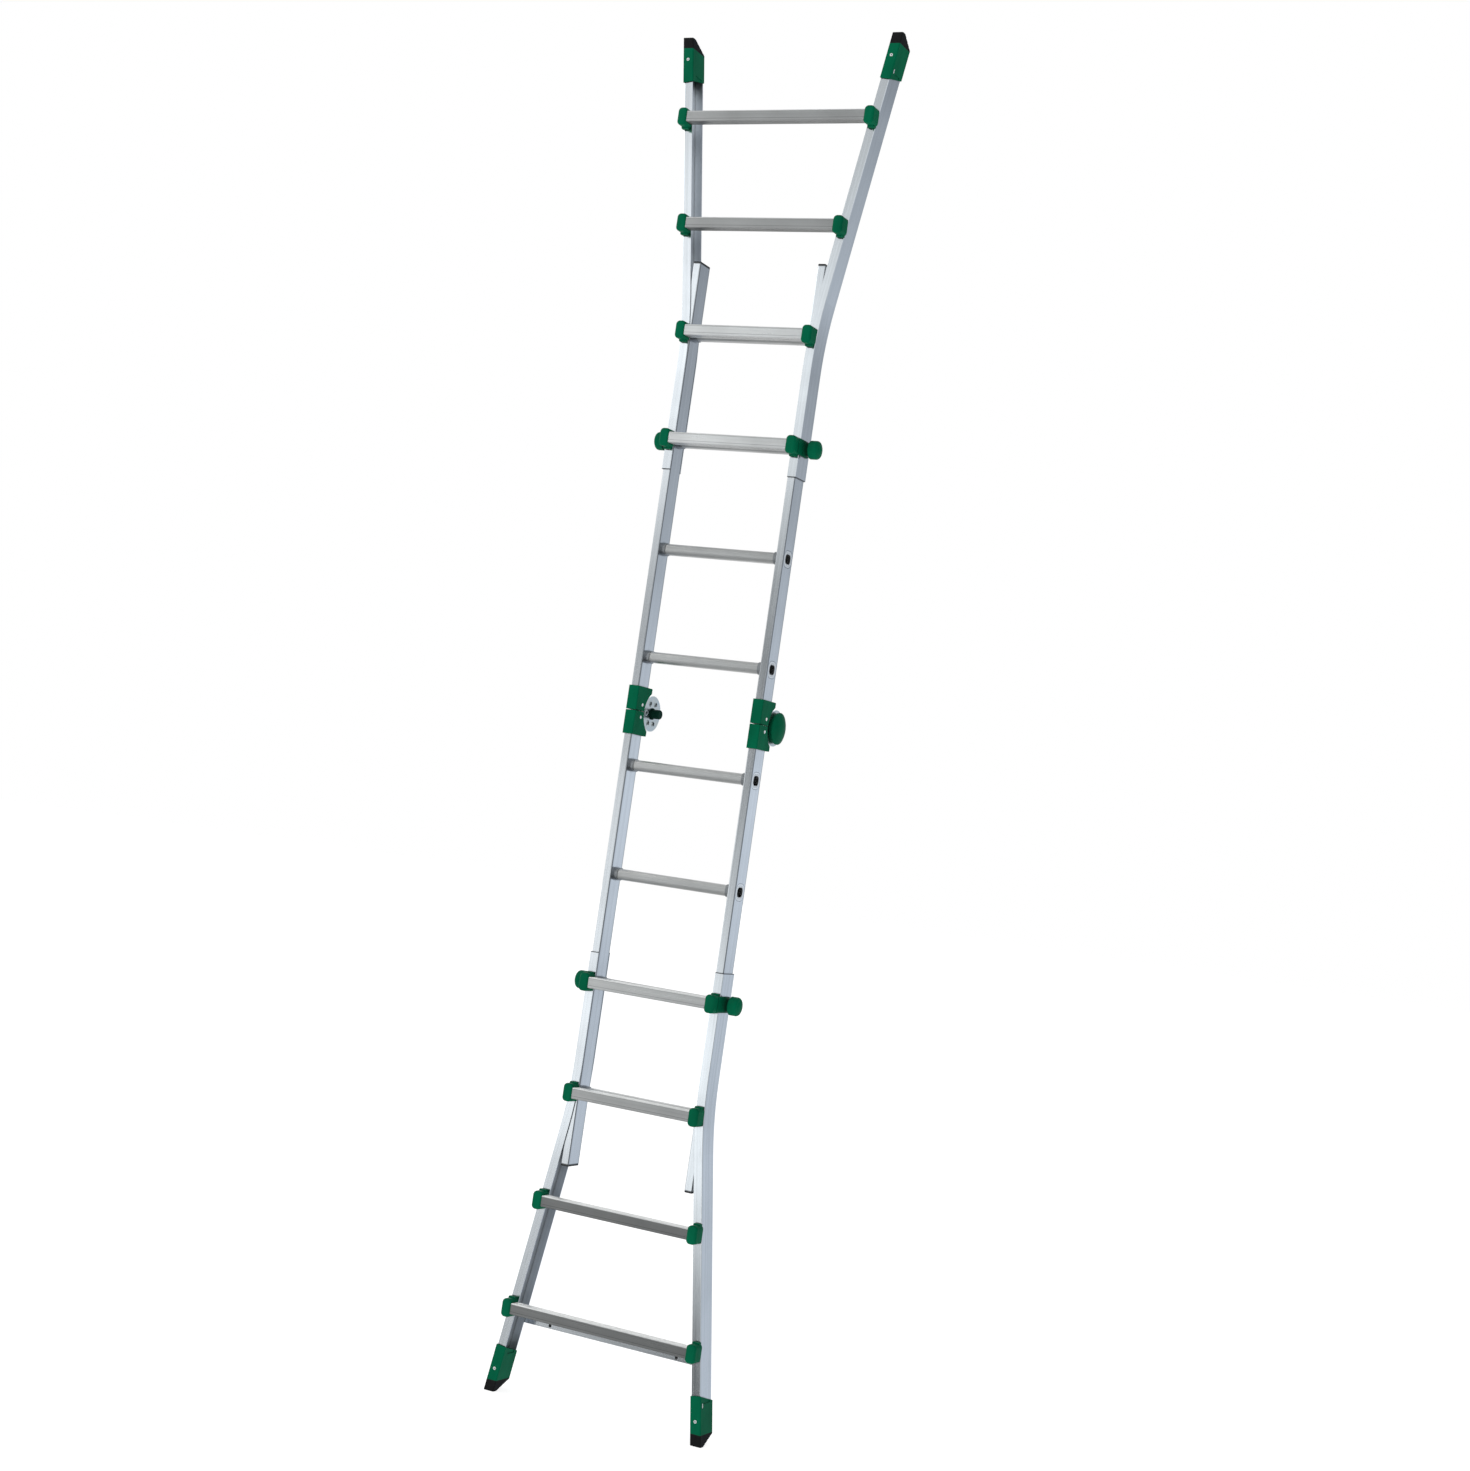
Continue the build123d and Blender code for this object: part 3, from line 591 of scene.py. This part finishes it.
def moulded_plastic(name, colour, finish, roughness, shade_from=None):
    """Moulded plastic with a fine grain, flow marks, scuffed edges and painted shade in its corners, and a painted
    shade from some X outwards.
    """
    material, tree, shader = start_material(name)
    place = object_place(tree)
    grain = noise(tree, place, (1500.0, 1500.0, 1500.0), 2.0)
    flow = noise(tree, place, (24.0, 24.0, 9.0), 5.0)
    scuffs = spread(tree, noise(tree, place, (90.0, 90.0, 420.0), 5.0, 0.65), 0.60, 0.74)
    pale = paled(colour, 0.85, 0.03)
    tone = blended(tree, spread(tree, flow, 0.3, 0.7), scaled(colour, 0.82), scaled(colour, 1.12))
    tone = stained(tree, tone, scuffs, 0.10, pale)
    tone = stained(tree, tone, edge_share(tree, 1.6 * finish.plastic_edge), 0.22, pale)
    # painted shade in corners between pieces
    tone = stained(tree, tone, crevice_shade_share(tree, 2.0 * finish.crevice_shade_reach), 0.7, scaled(colour, 0.25))
    # painted shade on the boss between a lock bracket and its knob
    if shade_from is not None:
        reach = maths(tree, "ABSOLUTE", object_axes(tree)["X"])
        boss_shade = spread(tree, reach, shade_from, shade_from + finish.boss_length / 2)
        tone = blended(tree, boss_shade, tone, scaled(colour, 0.3))
    rough = maths(tree, "ADD", spread(tree, grain, 0.3, 0.7, roughness - 0.04, roughness + 0.05),
                  maths(tree, "MULTIPLY", scuffs, 0.12))
    join(tree, shader.inputs["Base Color"], tone)
    join(tree, shader.inputs["Roughness"], rough)
    shader.inputs["Specular IOR Level"].default_value = 0.03
    under = eased_edges(tree, finish.plastic_edge)
    join(tree, shader.inputs["Normal"], relief(tree, grain, 0.16, 0.0003, under))
    return material


def rubber(name, colour, finish):
    """Matt rubber with a pebbled skin and a little dust."""
    material, tree, shader = start_material(name)
    place = object_place(tree)
    pebbles = add_node(tree, "TexVoronoi", {"Vector": place, "Scale": 620.0}).outputs["Distance"]
    dust = spread(tree, noise(tree, place, (45.0, 45.0, 45.0), 6.0, 0.62), 0.50, 0.78, 0.0, 0.25)
    dusty = paled(colour, 1.0, 0.025)
    tone = blended(tree, dust, scaled(colour, 1.0), dusty)
    tone = stained(tree, tone, edge_share(tree, 2.0 * finish.plastic_edge), 0.5, dusty)
    join(tree, shader.inputs["Base Color"], tone)
    join(tree, shader.inputs["Roughness"], spread(tree, pebbles, 0.1, 0.7, 0.62, 0.82))
    shader.inputs["Specular IOR Level"].default_value = 0.16
    under = eased_edges(tree, finish.plastic_edge)
    join(tree, shader.inputs["Normal"], relief(tree, pebbles, 0.25, 0.0004, under))
    return material


def plated_steel(name, colour, finish, bare=1.0):
    """Zinc plated steel, clouded and a little uneven, or milky where less of the metal is bare."""
    material, tree, shader = start_material(name)
    place = object_place(tree)
    clouds = noise(tree, place, (55.0, 55.0, 55.0), 5.0, 0.6)
    spots = noise(tree, place, (420.0, 420.0, 420.0), 3.0)
    red, green, blue = colour
    warm = (red, green * 0.98, blue * 0.93, 1.0)
    cold = (red * 0.82, green * 0.87, blue * 0.91, 1.0)
    tone = blended(tree, spread(tree, clouds, 0.35, 0.65), cold, warm)
    tone = blended(tree, spread(tree, spots, 0.55, 0.75, 0.0, 0.3), tone, scaled(colour, 0.6))
    tone = stained(tree, tone, edge_share(tree, 2.0 * finish.metal_edge), 0.6, scaled(colour, 1.35))
    join(tree, shader.inputs["Base Color"], tone)
    join(tree, shader.inputs["Roughness"], spread(tree, clouds, 0.3, 0.7, 0.24, 0.40))
    shader.inputs["Metallic"].default_value = bare
    under = eased_edges(tree, finish.metal_edge)
    join(tree, shader.inputs["Normal"], relief(tree, spots, 0.12, 0.0002, under))
    return material


def green_plastic(finish):
    """The green that caps, boots, sleeves and knobs share."""
    made = bpy.data.materials.get("green plastic")
    return made or moulded_plastic("green plastic", finish.green_colour, finish, GREEN_ROUGHNESS)


def finish_nodes(names, material):
    """Give CAD nodes their finish."""
    for name in names:
        mesh = frame["nodes"][name].data
        mesh.materials.clear()
        mesh.materials.append(material)


# pieces made here


def keep_piece(shape, name, material, body):
    """Turn a finished bmesh into a piece that rides on a body."""
    bmesh.ops.remove_doubles(shape, verts=shape.verts, dist=WELD_DISTANCE)
    bmesh.ops.recalc_face_normals(shape, faces=shape.faces)
    mesh = bpy.data.meshes.new(name)
    shape.to_mesh(mesh)
    shape.free()
    for face in mesh.polygons:
        face.use_smooth = True
    mesh.materials.append(material)
    piece = bpy.data.objects.new(name, mesh)
    bpy.context.scene.collection.objects.link(piece)
    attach(piece, body)
    return piece


def spin_profile(shape, profile, centre, axis, steps):
    """Spin (radius, height) points about an axis through a centre."""
    side = axis.orthogonal().normalized()
    verts = [shape.verts.new(centre + side * radius + axis * height) for radius, height in profile]
    edges = [shape.edges.new(ends) for ends in zip(verts, verts[1:])]
    bmesh.ops.spin(shape, geom=verts + edges, cent=centre, axis=axis, dvec=(0, 0, 0),
                   angle=2 * math.pi, steps=steps, use_merge=True)


def ring_profile(radius, thickness, points):
    """A round section at a radius, as a closed run of points."""
    turns = [2 * math.pi * number / points for number in range(points + 1)]
    return [(radius + thickness * math.cos(turn), thickness * math.sin(turn)) for turn in turns]


def round_edges(shape, edges, radius, segments):
    """Round some edges of a bmesh."""
    bmesh.ops.bevel(shape, geom=edges, offset=radius, offset_type="OFFSET", segments=segments,
                    profile=0.5, affect="EDGES", material=-1)


class LadderOperator:
    """What the ladder's operators share."""

    bl_options = {"REGISTER", "UNDO"}


class LADDER_OT_outer_stiles(LadderOperator, bpy.types.Operator):
    """Put drawn lines that follow the bend on the outer stiles"""

    bl_idname = "ladder.outer_stiles"
    bl_label = "Outer Stiles"

    def execute(self, context):
        finish = context.scene.ladder_finish
        material, _, _ = drawn_metal("flared stile aluminium", finish.stile_colour, finish, "Z",
                                     STILE_ROUGHNESS, flared=True)
        finish_nodes(in_halves_and_sides("outer_stile"), material)
        return {"FINISHED"}


class LADDER_OT_inner_stiles(LadderOperator, bpy.types.Operator):
    """Finish the inner stiles and the plugs in their free ends"""

    bl_idname = "ladder.inner_stiles"
    bl_label = "Inner Stiles"

    def execute(self, context):
        finish = context.scene.ladder_finish
        material = beaded_metal("straight stile aluminium", finish.stile_colour, finish)
        finish_nodes(in_halves_and_sides("inner_stile"), material)
        plug = moulded_plastic("plug plastic", finish.plug_colour, finish, PLUG_ROUGHNESS)
        finish_nodes(in_halves("end_plugs"), plug)
        return {"FINISHED"}


class LADDER_OT_outer_rungs(LadderOperator, bpy.types.Operator):
    """Finish the ribbed outer rungs"""

    bl_idname = "ladder.outer_rungs"
    bl_label = "Outer Rungs"

    def execute(self, context):
        finish = context.scene.ladder_finish
        # each outer rung's colour is scaled by its own painted light and shade
        for half, shades in RUNG_PAINTED_LIGHT.items():
            for number, shade in enumerate(shades, 1):
                colour = scaled(finish.rung_colour, shade)[:3]
                node = half + "_outer_rung_%d" % number
                low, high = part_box(node)
                finish_nodes([node], highlit_rung_metal(node + " aluminium", colour, finish, low.z, high.z))
        return {"FINISHED"}


class LADDER_OT_inner_rungs(LadderOperator, bpy.types.Operator):
    """Finish the inner rungs with their dark collars"""

    bl_idname = "ladder.inner_rungs"
    bl_label = "Inner Rungs"

    def execute(self, context):
        finish = context.scene.ladder_finish
        material = collared_metal("inner rung aluminium", finish.rung_colour, finish)
        finish_nodes(in_halves("inner_rungs"), material)
        return {"FINISHED"}


class LADDER_OT_brace_bar(LadderOperator, bpy.types.Operator):
    """Finish the brace bar, and push a dark plug into each of its holes"""

    bl_idname = "ladder.brace_bar"
    bl_label = "Brace Bar"

    def execute(self, context):
        finish = context.scene.ladder_finish
        material, _, _ = drawn_metal("brace aluminium", finish.stile_colour, finish, "X", BRACE_ROUGHNESS)
        finish_nodes(["brace_bar"], material)
        holes = next(mount for mount in frame["record"]["mounts"] if mount["name"] == "brace_holes")
        radius = holes["dims"]["hole_r_mm"] / MM_PER_M - finish.plug_clearance
        low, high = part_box("brace_bar")
        depth = high.y - low.y
        # a flat button in a groove, a rounded rim and a straight shank
        profile = [(0, 0), (radius * 0.55, 0), (radius * 0.62, -depth * 0.12),
                   (radius * 0.86, -depth * 0.10), (radius * 0.97, -depth * 0.16),
                   (radius, -depth * 0.25), (radius, -depth), (0, -depth)]
        shape = bmesh.new()
        for way in (-1, 1):
            out = way * holes["dims"]["spacing_x_mm"] / MM_PER_M / 2
            centre = Vector((holes["pos_m"][0] + out, low.y, holes["pos_m"][2]))
            spin_profile(shape, profile, centre, Vector((0, -1, 0)), ROUND_STEPS)
        plastic = moulded_plastic("hole plug plastic", finish.plug_colour, finish, PLUG_ROUGHNESS)
        keep_piece(shape, "brace_hole_plugs", plastic, "lower_outer")
        return {"FINISHED"}


class LADDER_OT_rung_caps(LadderOperator, bpy.types.Operator):
    """Finish the caps on the ends of the outer rungs"""

    bl_idname = "ladder.rung_caps"
    bl_label = "Rung Caps"

    def execute(self, context):
        finish_nodes(in_halves("rung_caps"), green_plastic(context.scene.ladder_finish))
        return {"FINISHED"}


class LADDER_OT_slide_locks(LadderOperator, bpy.types.Operator):
    """Finish the slide locks: brackets, knobs and pins"""

    bl_idname = "ladder.slide_locks"
    bl_label = "Slide Locks"

    def execute(self, context):
        finish = context.scene.ladder_finish
        finish_nodes(in_halves_and_sides("lock_knob"), green_plastic(finish))
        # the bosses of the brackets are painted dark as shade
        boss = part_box("lower_lock_bracket_right")[1].x - finish.boss_length
        shade_painted = moulded_plastic("greased green plastic", finish.green_colour, finish,
                                  GREEN_ROUGHNESS, boss)
        finish_nodes(in_halves_and_sides("lock_bracket"), shade_painted)
        steel = plated_steel("pin steel", finish.zinc_colour, finish)
        finish_nodes(in_halves_and_sides("lock_pin"), steel)
        return {"FINISHED"}


class LADDER_OT_boots(LadderOperator, bpy.types.Operator):
    """Finish the boots on the flared ends, and make the catches that hold them"""

    bl_idname = "ladder.boots"
    bl_label = "Boots"

    def execute(self, context):
        finish = context.scene.ladder_finish
        finish_nodes(in_halves_and_sides("boot"), green_plastic(finish))
        metal = plated_steel("catch metal", finish.catch_colour, finish, MILKY_BARE)
        for half in HALVES:
            for side in SIDES:
                self.add_catch(finish, metal, half, side)
        return {"FINISHED"}

    def add_catch(self, finish, metal, half, side):
        """A rounded tongue of the stile's web that stands in the slot of a boot."""
        shape = bmesh.new()
        bmesh.ops.create_cube(shape, size=1.0)
        bmesh.ops.scale(shape, vec=finish.catch_size, verts=shape.verts)
        corners = [edge for edge in shape.edges if edge.verts[0].co.x != edge.verts[1].co.x]
        round_edges(shape, corners, finish.catch_size.y * 0.45, segments=5)
        rim = [edge for edge in shape.edges if min(vert.co.x for vert in edge.verts) > 0]
        round_edges(shape, rim, finish.catch_size.x * 0.2, segments=2)
        way = 1 if side == "right" else -1
        up = 1 if half == "upper" else -1
        bend = Matrix.Translation((finish.flange_distance, 0, finish.bend_distance))
        flare = bend @ Matrix.Rotation(finish.flare_angle, 4, "Y")
        mirrored = Matrix.Translation(HINGE) @ Matrix.Diagonal((way, 1, up, 1))
        placed = mirrored @ flare @ Matrix.Translation(finish.catch_place)
        bmesh.ops.transform(shape, matrix=placed, verts=shape.verts)
        keep_piece(shape, half + "_boot_catch_" + side, metal, half + "_outer")


class LADDER_OT_hinge_sleeves(LadderOperator, bpy.types.Operator):
    """Finish the sleeves that hold the hinge plates to the inner stiles"""

    bl_idname = "ladder.hinge_sleeves"
    bl_label = "Hinge Sleeves"

    def execute(self, context):
        finish_nodes(in_halves_and_sides("hinge_sleeve"), green_plastic(context.scene.ladder_finish))
        return {"FINISHED"}


class LADDER_OT_release_plungers(LadderOperator, bpy.types.Operator):
    """Finish the plungers that release the hinges: rods and knobs"""

    bl_idname = "ladder.release_plungers"
    bl_label = "Release Plungers"

    def execute(self, context):
        finish = context.scene.ladder_finish
        finish_nodes(pair("release_knob"), green_plastic(finish))
        dark = moulded_plastic("dark green plastic", finish.dark_green_colour, finish, ROD_ROUGHNESS)
        finish_nodes(pair("release_rod"), dark)
        return {"FINISHED"}


class LADDER_OT_rubber_tips(LadderOperator, bpy.types.Operator):
    """Finish the rubber tips under the boots"""

    bl_idname = "ladder.rubber_tips"
    bl_label = "Rubber Tips"

    def execute(self, context):
        finish = context.scene.ladder_finish
        finish_nodes(in_halves("rubber_tips"), rubber("black rubber", finish.rubber_colour, finish))
        return {"FINISHED"}


class LADDER_OT_hinges(LadderOperator, bpy.types.Operator):
    """Finish the hinge plates and bushes, and press a rim round each lock hole"""

    bl_idname = "ladder.hinges"
    bl_label = "Hinges"

    def execute(self, context):
        finish = context.scene.ladder_finish
        steel = plated_steel("plated steel", finish.zinc_colour, finish)
        finish_nodes(pair("hinge_tongue") + pair("hinge_clevis"), steel)
        bush = moulded_plastic("bush plastic", finish.dark_green_colour, finish, BUSH_ROUGHNESS)
        finish_nodes(["pivot_bushes"], bush)
        self.add_rims(finish, steel)
        return {"FINISHED"}

    def add_rims(self, finish, steel):
        """Raised rims on the faces of the hinge plates that look to the middle of the ladder."""
        profile = ring_profile(finish.hole_radius + finish.hole_rim, finish.hole_rim, RIM_POINTS)
        for side, node in zip(SIDES, pair("hinge_clevis")):
            low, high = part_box(node)
            face = high.x if side == "left" else low.x
            shape = bmesh.new()
            for number in range(LOCK_HOLES):
                turn = 2 * math.pi * number / LOCK_HOLES
                out = Vector((0, math.cos(turn), math.sin(turn))) * finish.hole_circle
                centre = Vector((face, HINGE.y, HINGE.z)) + out
                spin_profile(shape, profile, centre, Vector((1, 0, 0)), ROUND_STEPS)
            keep_piece(shape, "lock_hole_rims_" + side, steel, "upper_inner")


class LADDER_OT_rivets(LadderOperator, bpy.types.Operator):
    """Finish the rivets, and make those of the boots as blind rivets with a dark stem"""

    bl_idname = "ladder.rivets"
    bl_label = "Rivets"

    def execute(self, context):
        finish = context.scene.ladder_finish
        steel = plated_steel("rivet metal", finish.rivet_colour, finish, MILKY_BARE)
        # the stems' near black colour is painted shade of the hollow in each rivet's head
        dark = plated_steel("stem steel", finish.stem_shade_colour, finish)
        finish_nodes(in_halves("hinge_rivets") + ["brace_rivets"], steel)
        for half in HALVES:
            node = half + "_boot_rivets"
            low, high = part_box(node)
            radius = (high.z - low.z) / 2
            depth = high.y - low.y
            head = radius / 3
            # a domed head with a hole for the stem, and its shank
            collar = [(0, head * 0.1), (radius * 0.42, head * 0.1), (radius * 0.45, head * 0.85),
                      (radius * 0.56, head), (radius * 0.75, head * 0.9), (radius * 0.93, head * 0.5),
                      (radius, head * 0.12), (radius, 0), (radius * 0.57, 0),
                      (radius * 0.57, head - depth), (0, head - depth)]
            stem = [(0, head * 0.5), (radius * 0.26, head * 0.45), (radius * 0.36, head * 0.3),
                    (radius * 0.36, head * 0.1), (0, head * 0.1)]
            middle = (low.z + high.z) / 2
            places = [Vector((x, low.y + head, middle)) for x in (low.x + radius, high.x - radius)]
            piece = self.add_turned(half + "_blind_rivets", collar, places, steel, half)
            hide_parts(node)
            self.add_turned(half + "_rivet_stems", stem, places, dark, half)
        return {"FINISHED"}

    def add_turned(self, name, profile, places, material, half):
        """One turned shape at each of the places, facing the front."""
        shape = bmesh.new()
        for place in places:
            spin_profile(shape, profile, place, Vector((0, -1, 0)), RIVET_STEPS)
        return keep_piece(shape, name, material, half + "_outer")


class LADDER_OT_stage(LadderOperator, bpy.types.Operator):
    """Lay the floor, hang the lights and set up the camera"""

    bl_idname = "ladder.stage"
    bl_label = "Floor, Lights and Camera"

    def execute(self, context):
        stage = context.scene.ladder_stage
        context.scene.view_settings.view_transform = "Standard"
        self.lay_floor(context, stage)
        self.light_room(context, stage)
        self.hang_light(context, "key light", stage.key_place, stage.key_size,
                        stage.key_power, stage.key_colour)
        self.hang_light(context, "side light", stage.side_place, stage.side_size,
                        stage.side_power, stage.side_colour)
        self.place_camera(context, stage)
        return {"FINISHED"}

    def lay_floor(self, context, stage):
        """A wide round floor."""
        shape = bmesh.new()
        bmesh.ops.create_circle(shape, cap_ends=True, segments=96, radius=stage.floor_radius)
        mesh = bpy.data.meshes.new("floor")
        shape.to_mesh(mesh)
        shape.free()
        material, _, shader = start_material("pale floor")
        shader.inputs["Base Color"].default_value = scaled(stage.floor_colour, 1.0)
        shader.inputs["Roughness"].default_value = 0.9
        shader.inputs["Specular IOR Level"].default_value = 0.1
        shader.inputs["Emission Color"].default_value = (1.0, 1.0, 1.0, 1.0)
        shader.inputs["Emission Strength"].default_value = stage.floor_glow
        mesh.materials.append(material)
        floor = bpy.data.objects.new("floor", mesh)
        floor.visible_glossy = False
        context.scene.collection.objects.link(floor)

    def light_room(self, context, stage):
        """Walls for the metal to mirror, soft light on matt surfaces and a white backdrop."""
        world = bpy.data.worlds.new("studio")
        context.scene.world = world
        world.use_nodes = True
        tree = world.node_tree
        tree.nodes.clear()
        direction = add_node(tree, "TexCoord").outputs["Generated"]
        front = self.wall_tones(tree, direction, FRONT_WALL)
        front = self.hang_wall(tree, direction, front, LEFT_WALL, LEFT_WAY)
        back = self.wall_tones(tree, direction, BACK_WALL)
        back = self.hang_wall(tree, direction, back, REAR_WALL, REAR_WAY)
        tone = blended(tree, self.share_towards(tree, direction, BACK_WAY), front, back)
        tone = self.hang_wall(tree, direction, tone, NEAR_WALL, NEAR_WAY)
        room = add_node(tree, "Background", {"Color": tone, "Strength": stage.room_light})
        gentle = self.share_towards(tree, direction, SOFT_WAY)
        soft = add_node(tree, "Background", {"Color": gentle, "Strength": stage.soft_light})
        backdrop = add_node(tree, "Background", {"Color": (1.0, 1.0, 1.0, 1.0), "Strength": 1.0})
        path = add_node(tree, "LightPath").outputs
        sockets = {0: path["Is Diffuse Ray"], 1: room.outputs[0], 2: soft.outputs[0]}
        mixed = add_node(tree, "MixShader", sockets)
        sockets = {0: path["Is Camera Ray"], 1: mixed.outputs[0], 2: backdrop.outputs[0]}
        mixed = add_node(tree, "MixShader", sockets)
        output = add_node(tree, "OutputWorld")
        tree.links.new(mixed.outputs[0], output.inputs["Surface"])

    def wall_tones(self, tree, direction, wall):
        """Light of a wall by height."""
        tint, tones = wall
        height = add_node(tree, "SeparateXYZ", {0: direction}).outputs["Z"]
        ramp = add_node(tree, "ValToRGB", {0: spread(tree, height, -1.0, 1.0)})
        steps = ramp.color_ramp.elements
        steps.remove(steps[1])
        for number, (level, tone) in enumerate(tones):
            position = (level + 1.0) / 2.0
            step = steps.new(position) if number else steps[0]
            step.position = position
            step.color = scaled(tint, tone)
        return ramp.outputs[0]

    def hang_wall(self, tree, direction, tone, wall, way):
        """The tone behind a wall, with the wall in front of it."""
        share = self.share_towards(tree, direction, way)
        return blended(tree, share, tone, self.wall_tones(tree, direction, wall))

    def share_towards(self, tree, direction, way):
        """A share that grows from 0 to 1 as the direction turns to a way."""
        line, first, full = way
        both = add_node(tree, "VectorMath", {0: direction, 1: line}, operation="DOT_PRODUCT")
        return spread(tree, both.outputs["Value"], first, full)

    def hang_light(self, context, name, place, size, power, colour):
        """A square soft light that looks at the middle of the ladder."""
        light = bpy.data.lights.new(name, "AREA")
        light.size = size
        light.energy = power
        light.color = colour
        lamp = bpy.data.objects.new(name, light)
        lamp.location = place
        lamp.rotation_euler = (HINGE - Vector(place)).to_track_quat("-Z", "Y").to_euler()
        context.scene.collection.objects.link(lamp)

    def place_camera(self, context, stage):
        """The camera where the picture was taken from."""
        camera = bpy.data.cameras.new("camera")
        camera.sensor_fit = "HORIZONTAL"
        camera.sensor_width = stage.sensor_width
        camera.lens = stage.focal_length
        camera.clip_end = stage.sight_end
        holder = bpy.data.objects.new("camera", camera)
        sight = Vector(stage.camera_aim) - Vector(stage.camera_place)
        level = sight.to_track_quat("-Z", "Y").to_matrix()
        turned = level @ Matrix.Rotation(stage.camera_roll, 3, "Z")
        place = HINGE + Vector(stage.camera_place)
        holder.matrix_world = Matrix.Translation(place) @ turned.to_4x4()
        context.scene.collection.objects.link(holder)
        context.scene.camera = holder


OPERATORS = (
    LADDER_OT_outer_stiles,
    LADDER_OT_inner_stiles,
    LADDER_OT_outer_rungs,
    LADDER_OT_inner_rungs,
    LADDER_OT_brace_bar,
    LADDER_OT_rung_caps,
    LADDER_OT_slide_locks,
    LADDER_OT_boots,
    LADDER_OT_rubber_tips,
    LADDER_OT_hinge_sleeves,
    LADDER_OT_release_plungers,
    LADDER_OT_hinges,
    LADDER_OT_rivets,
    LADDER_OT_stage,
)


class LADDER_PT_panel(bpy.types.Panel):
    """Sizes, colours and steps of the ladder"""

    bl_idname = "LADDER_PT_panel"
    bl_label = "Ladder"
    bl_space_type = "VIEW_3D"
    bl_region_type = "UI"
    bl_category = "Ladder"

    def draw(self, context):
        for group in (context.scene.ladder_finish, context.scene.ladder_stage):
            column = self.layout.column()
            for name in group.__annotations__:
                column.prop(group, name)
        for operator in OPERATORS:
            self.layout.operator(operator.bl_idname)


CLASSES = (LadderFinish, LadderStage, *OPERATORS, LADDER_PT_panel)


def register():
    """Add the ladder's settings, steps and panel."""
    for part in CLASSES:
        bpy.utils.register_class(part)
    bpy.types.Scene.ladder_finish = PointerProperty(type=LadderFinish)
    bpy.types.Scene.ladder_stage = PointerProperty(type=LadderStage)


def unregister():
    """Take the ladder's settings, steps and panel away."""
    del bpy.types.Scene.ladder_stage
    del bpy.types.Scene.ladder_finish
    for part in reversed(CLASSES):
        bpy.utils.unregister_class(part)


def main():
    """Finish the ladder."""
    register()
    for operator in OPERATORS:
        group, name = operator.bl_idname.split(".")
        getattr(getattr(bpy.ops, group), name)()


if __name__ == "__main__":
    main()
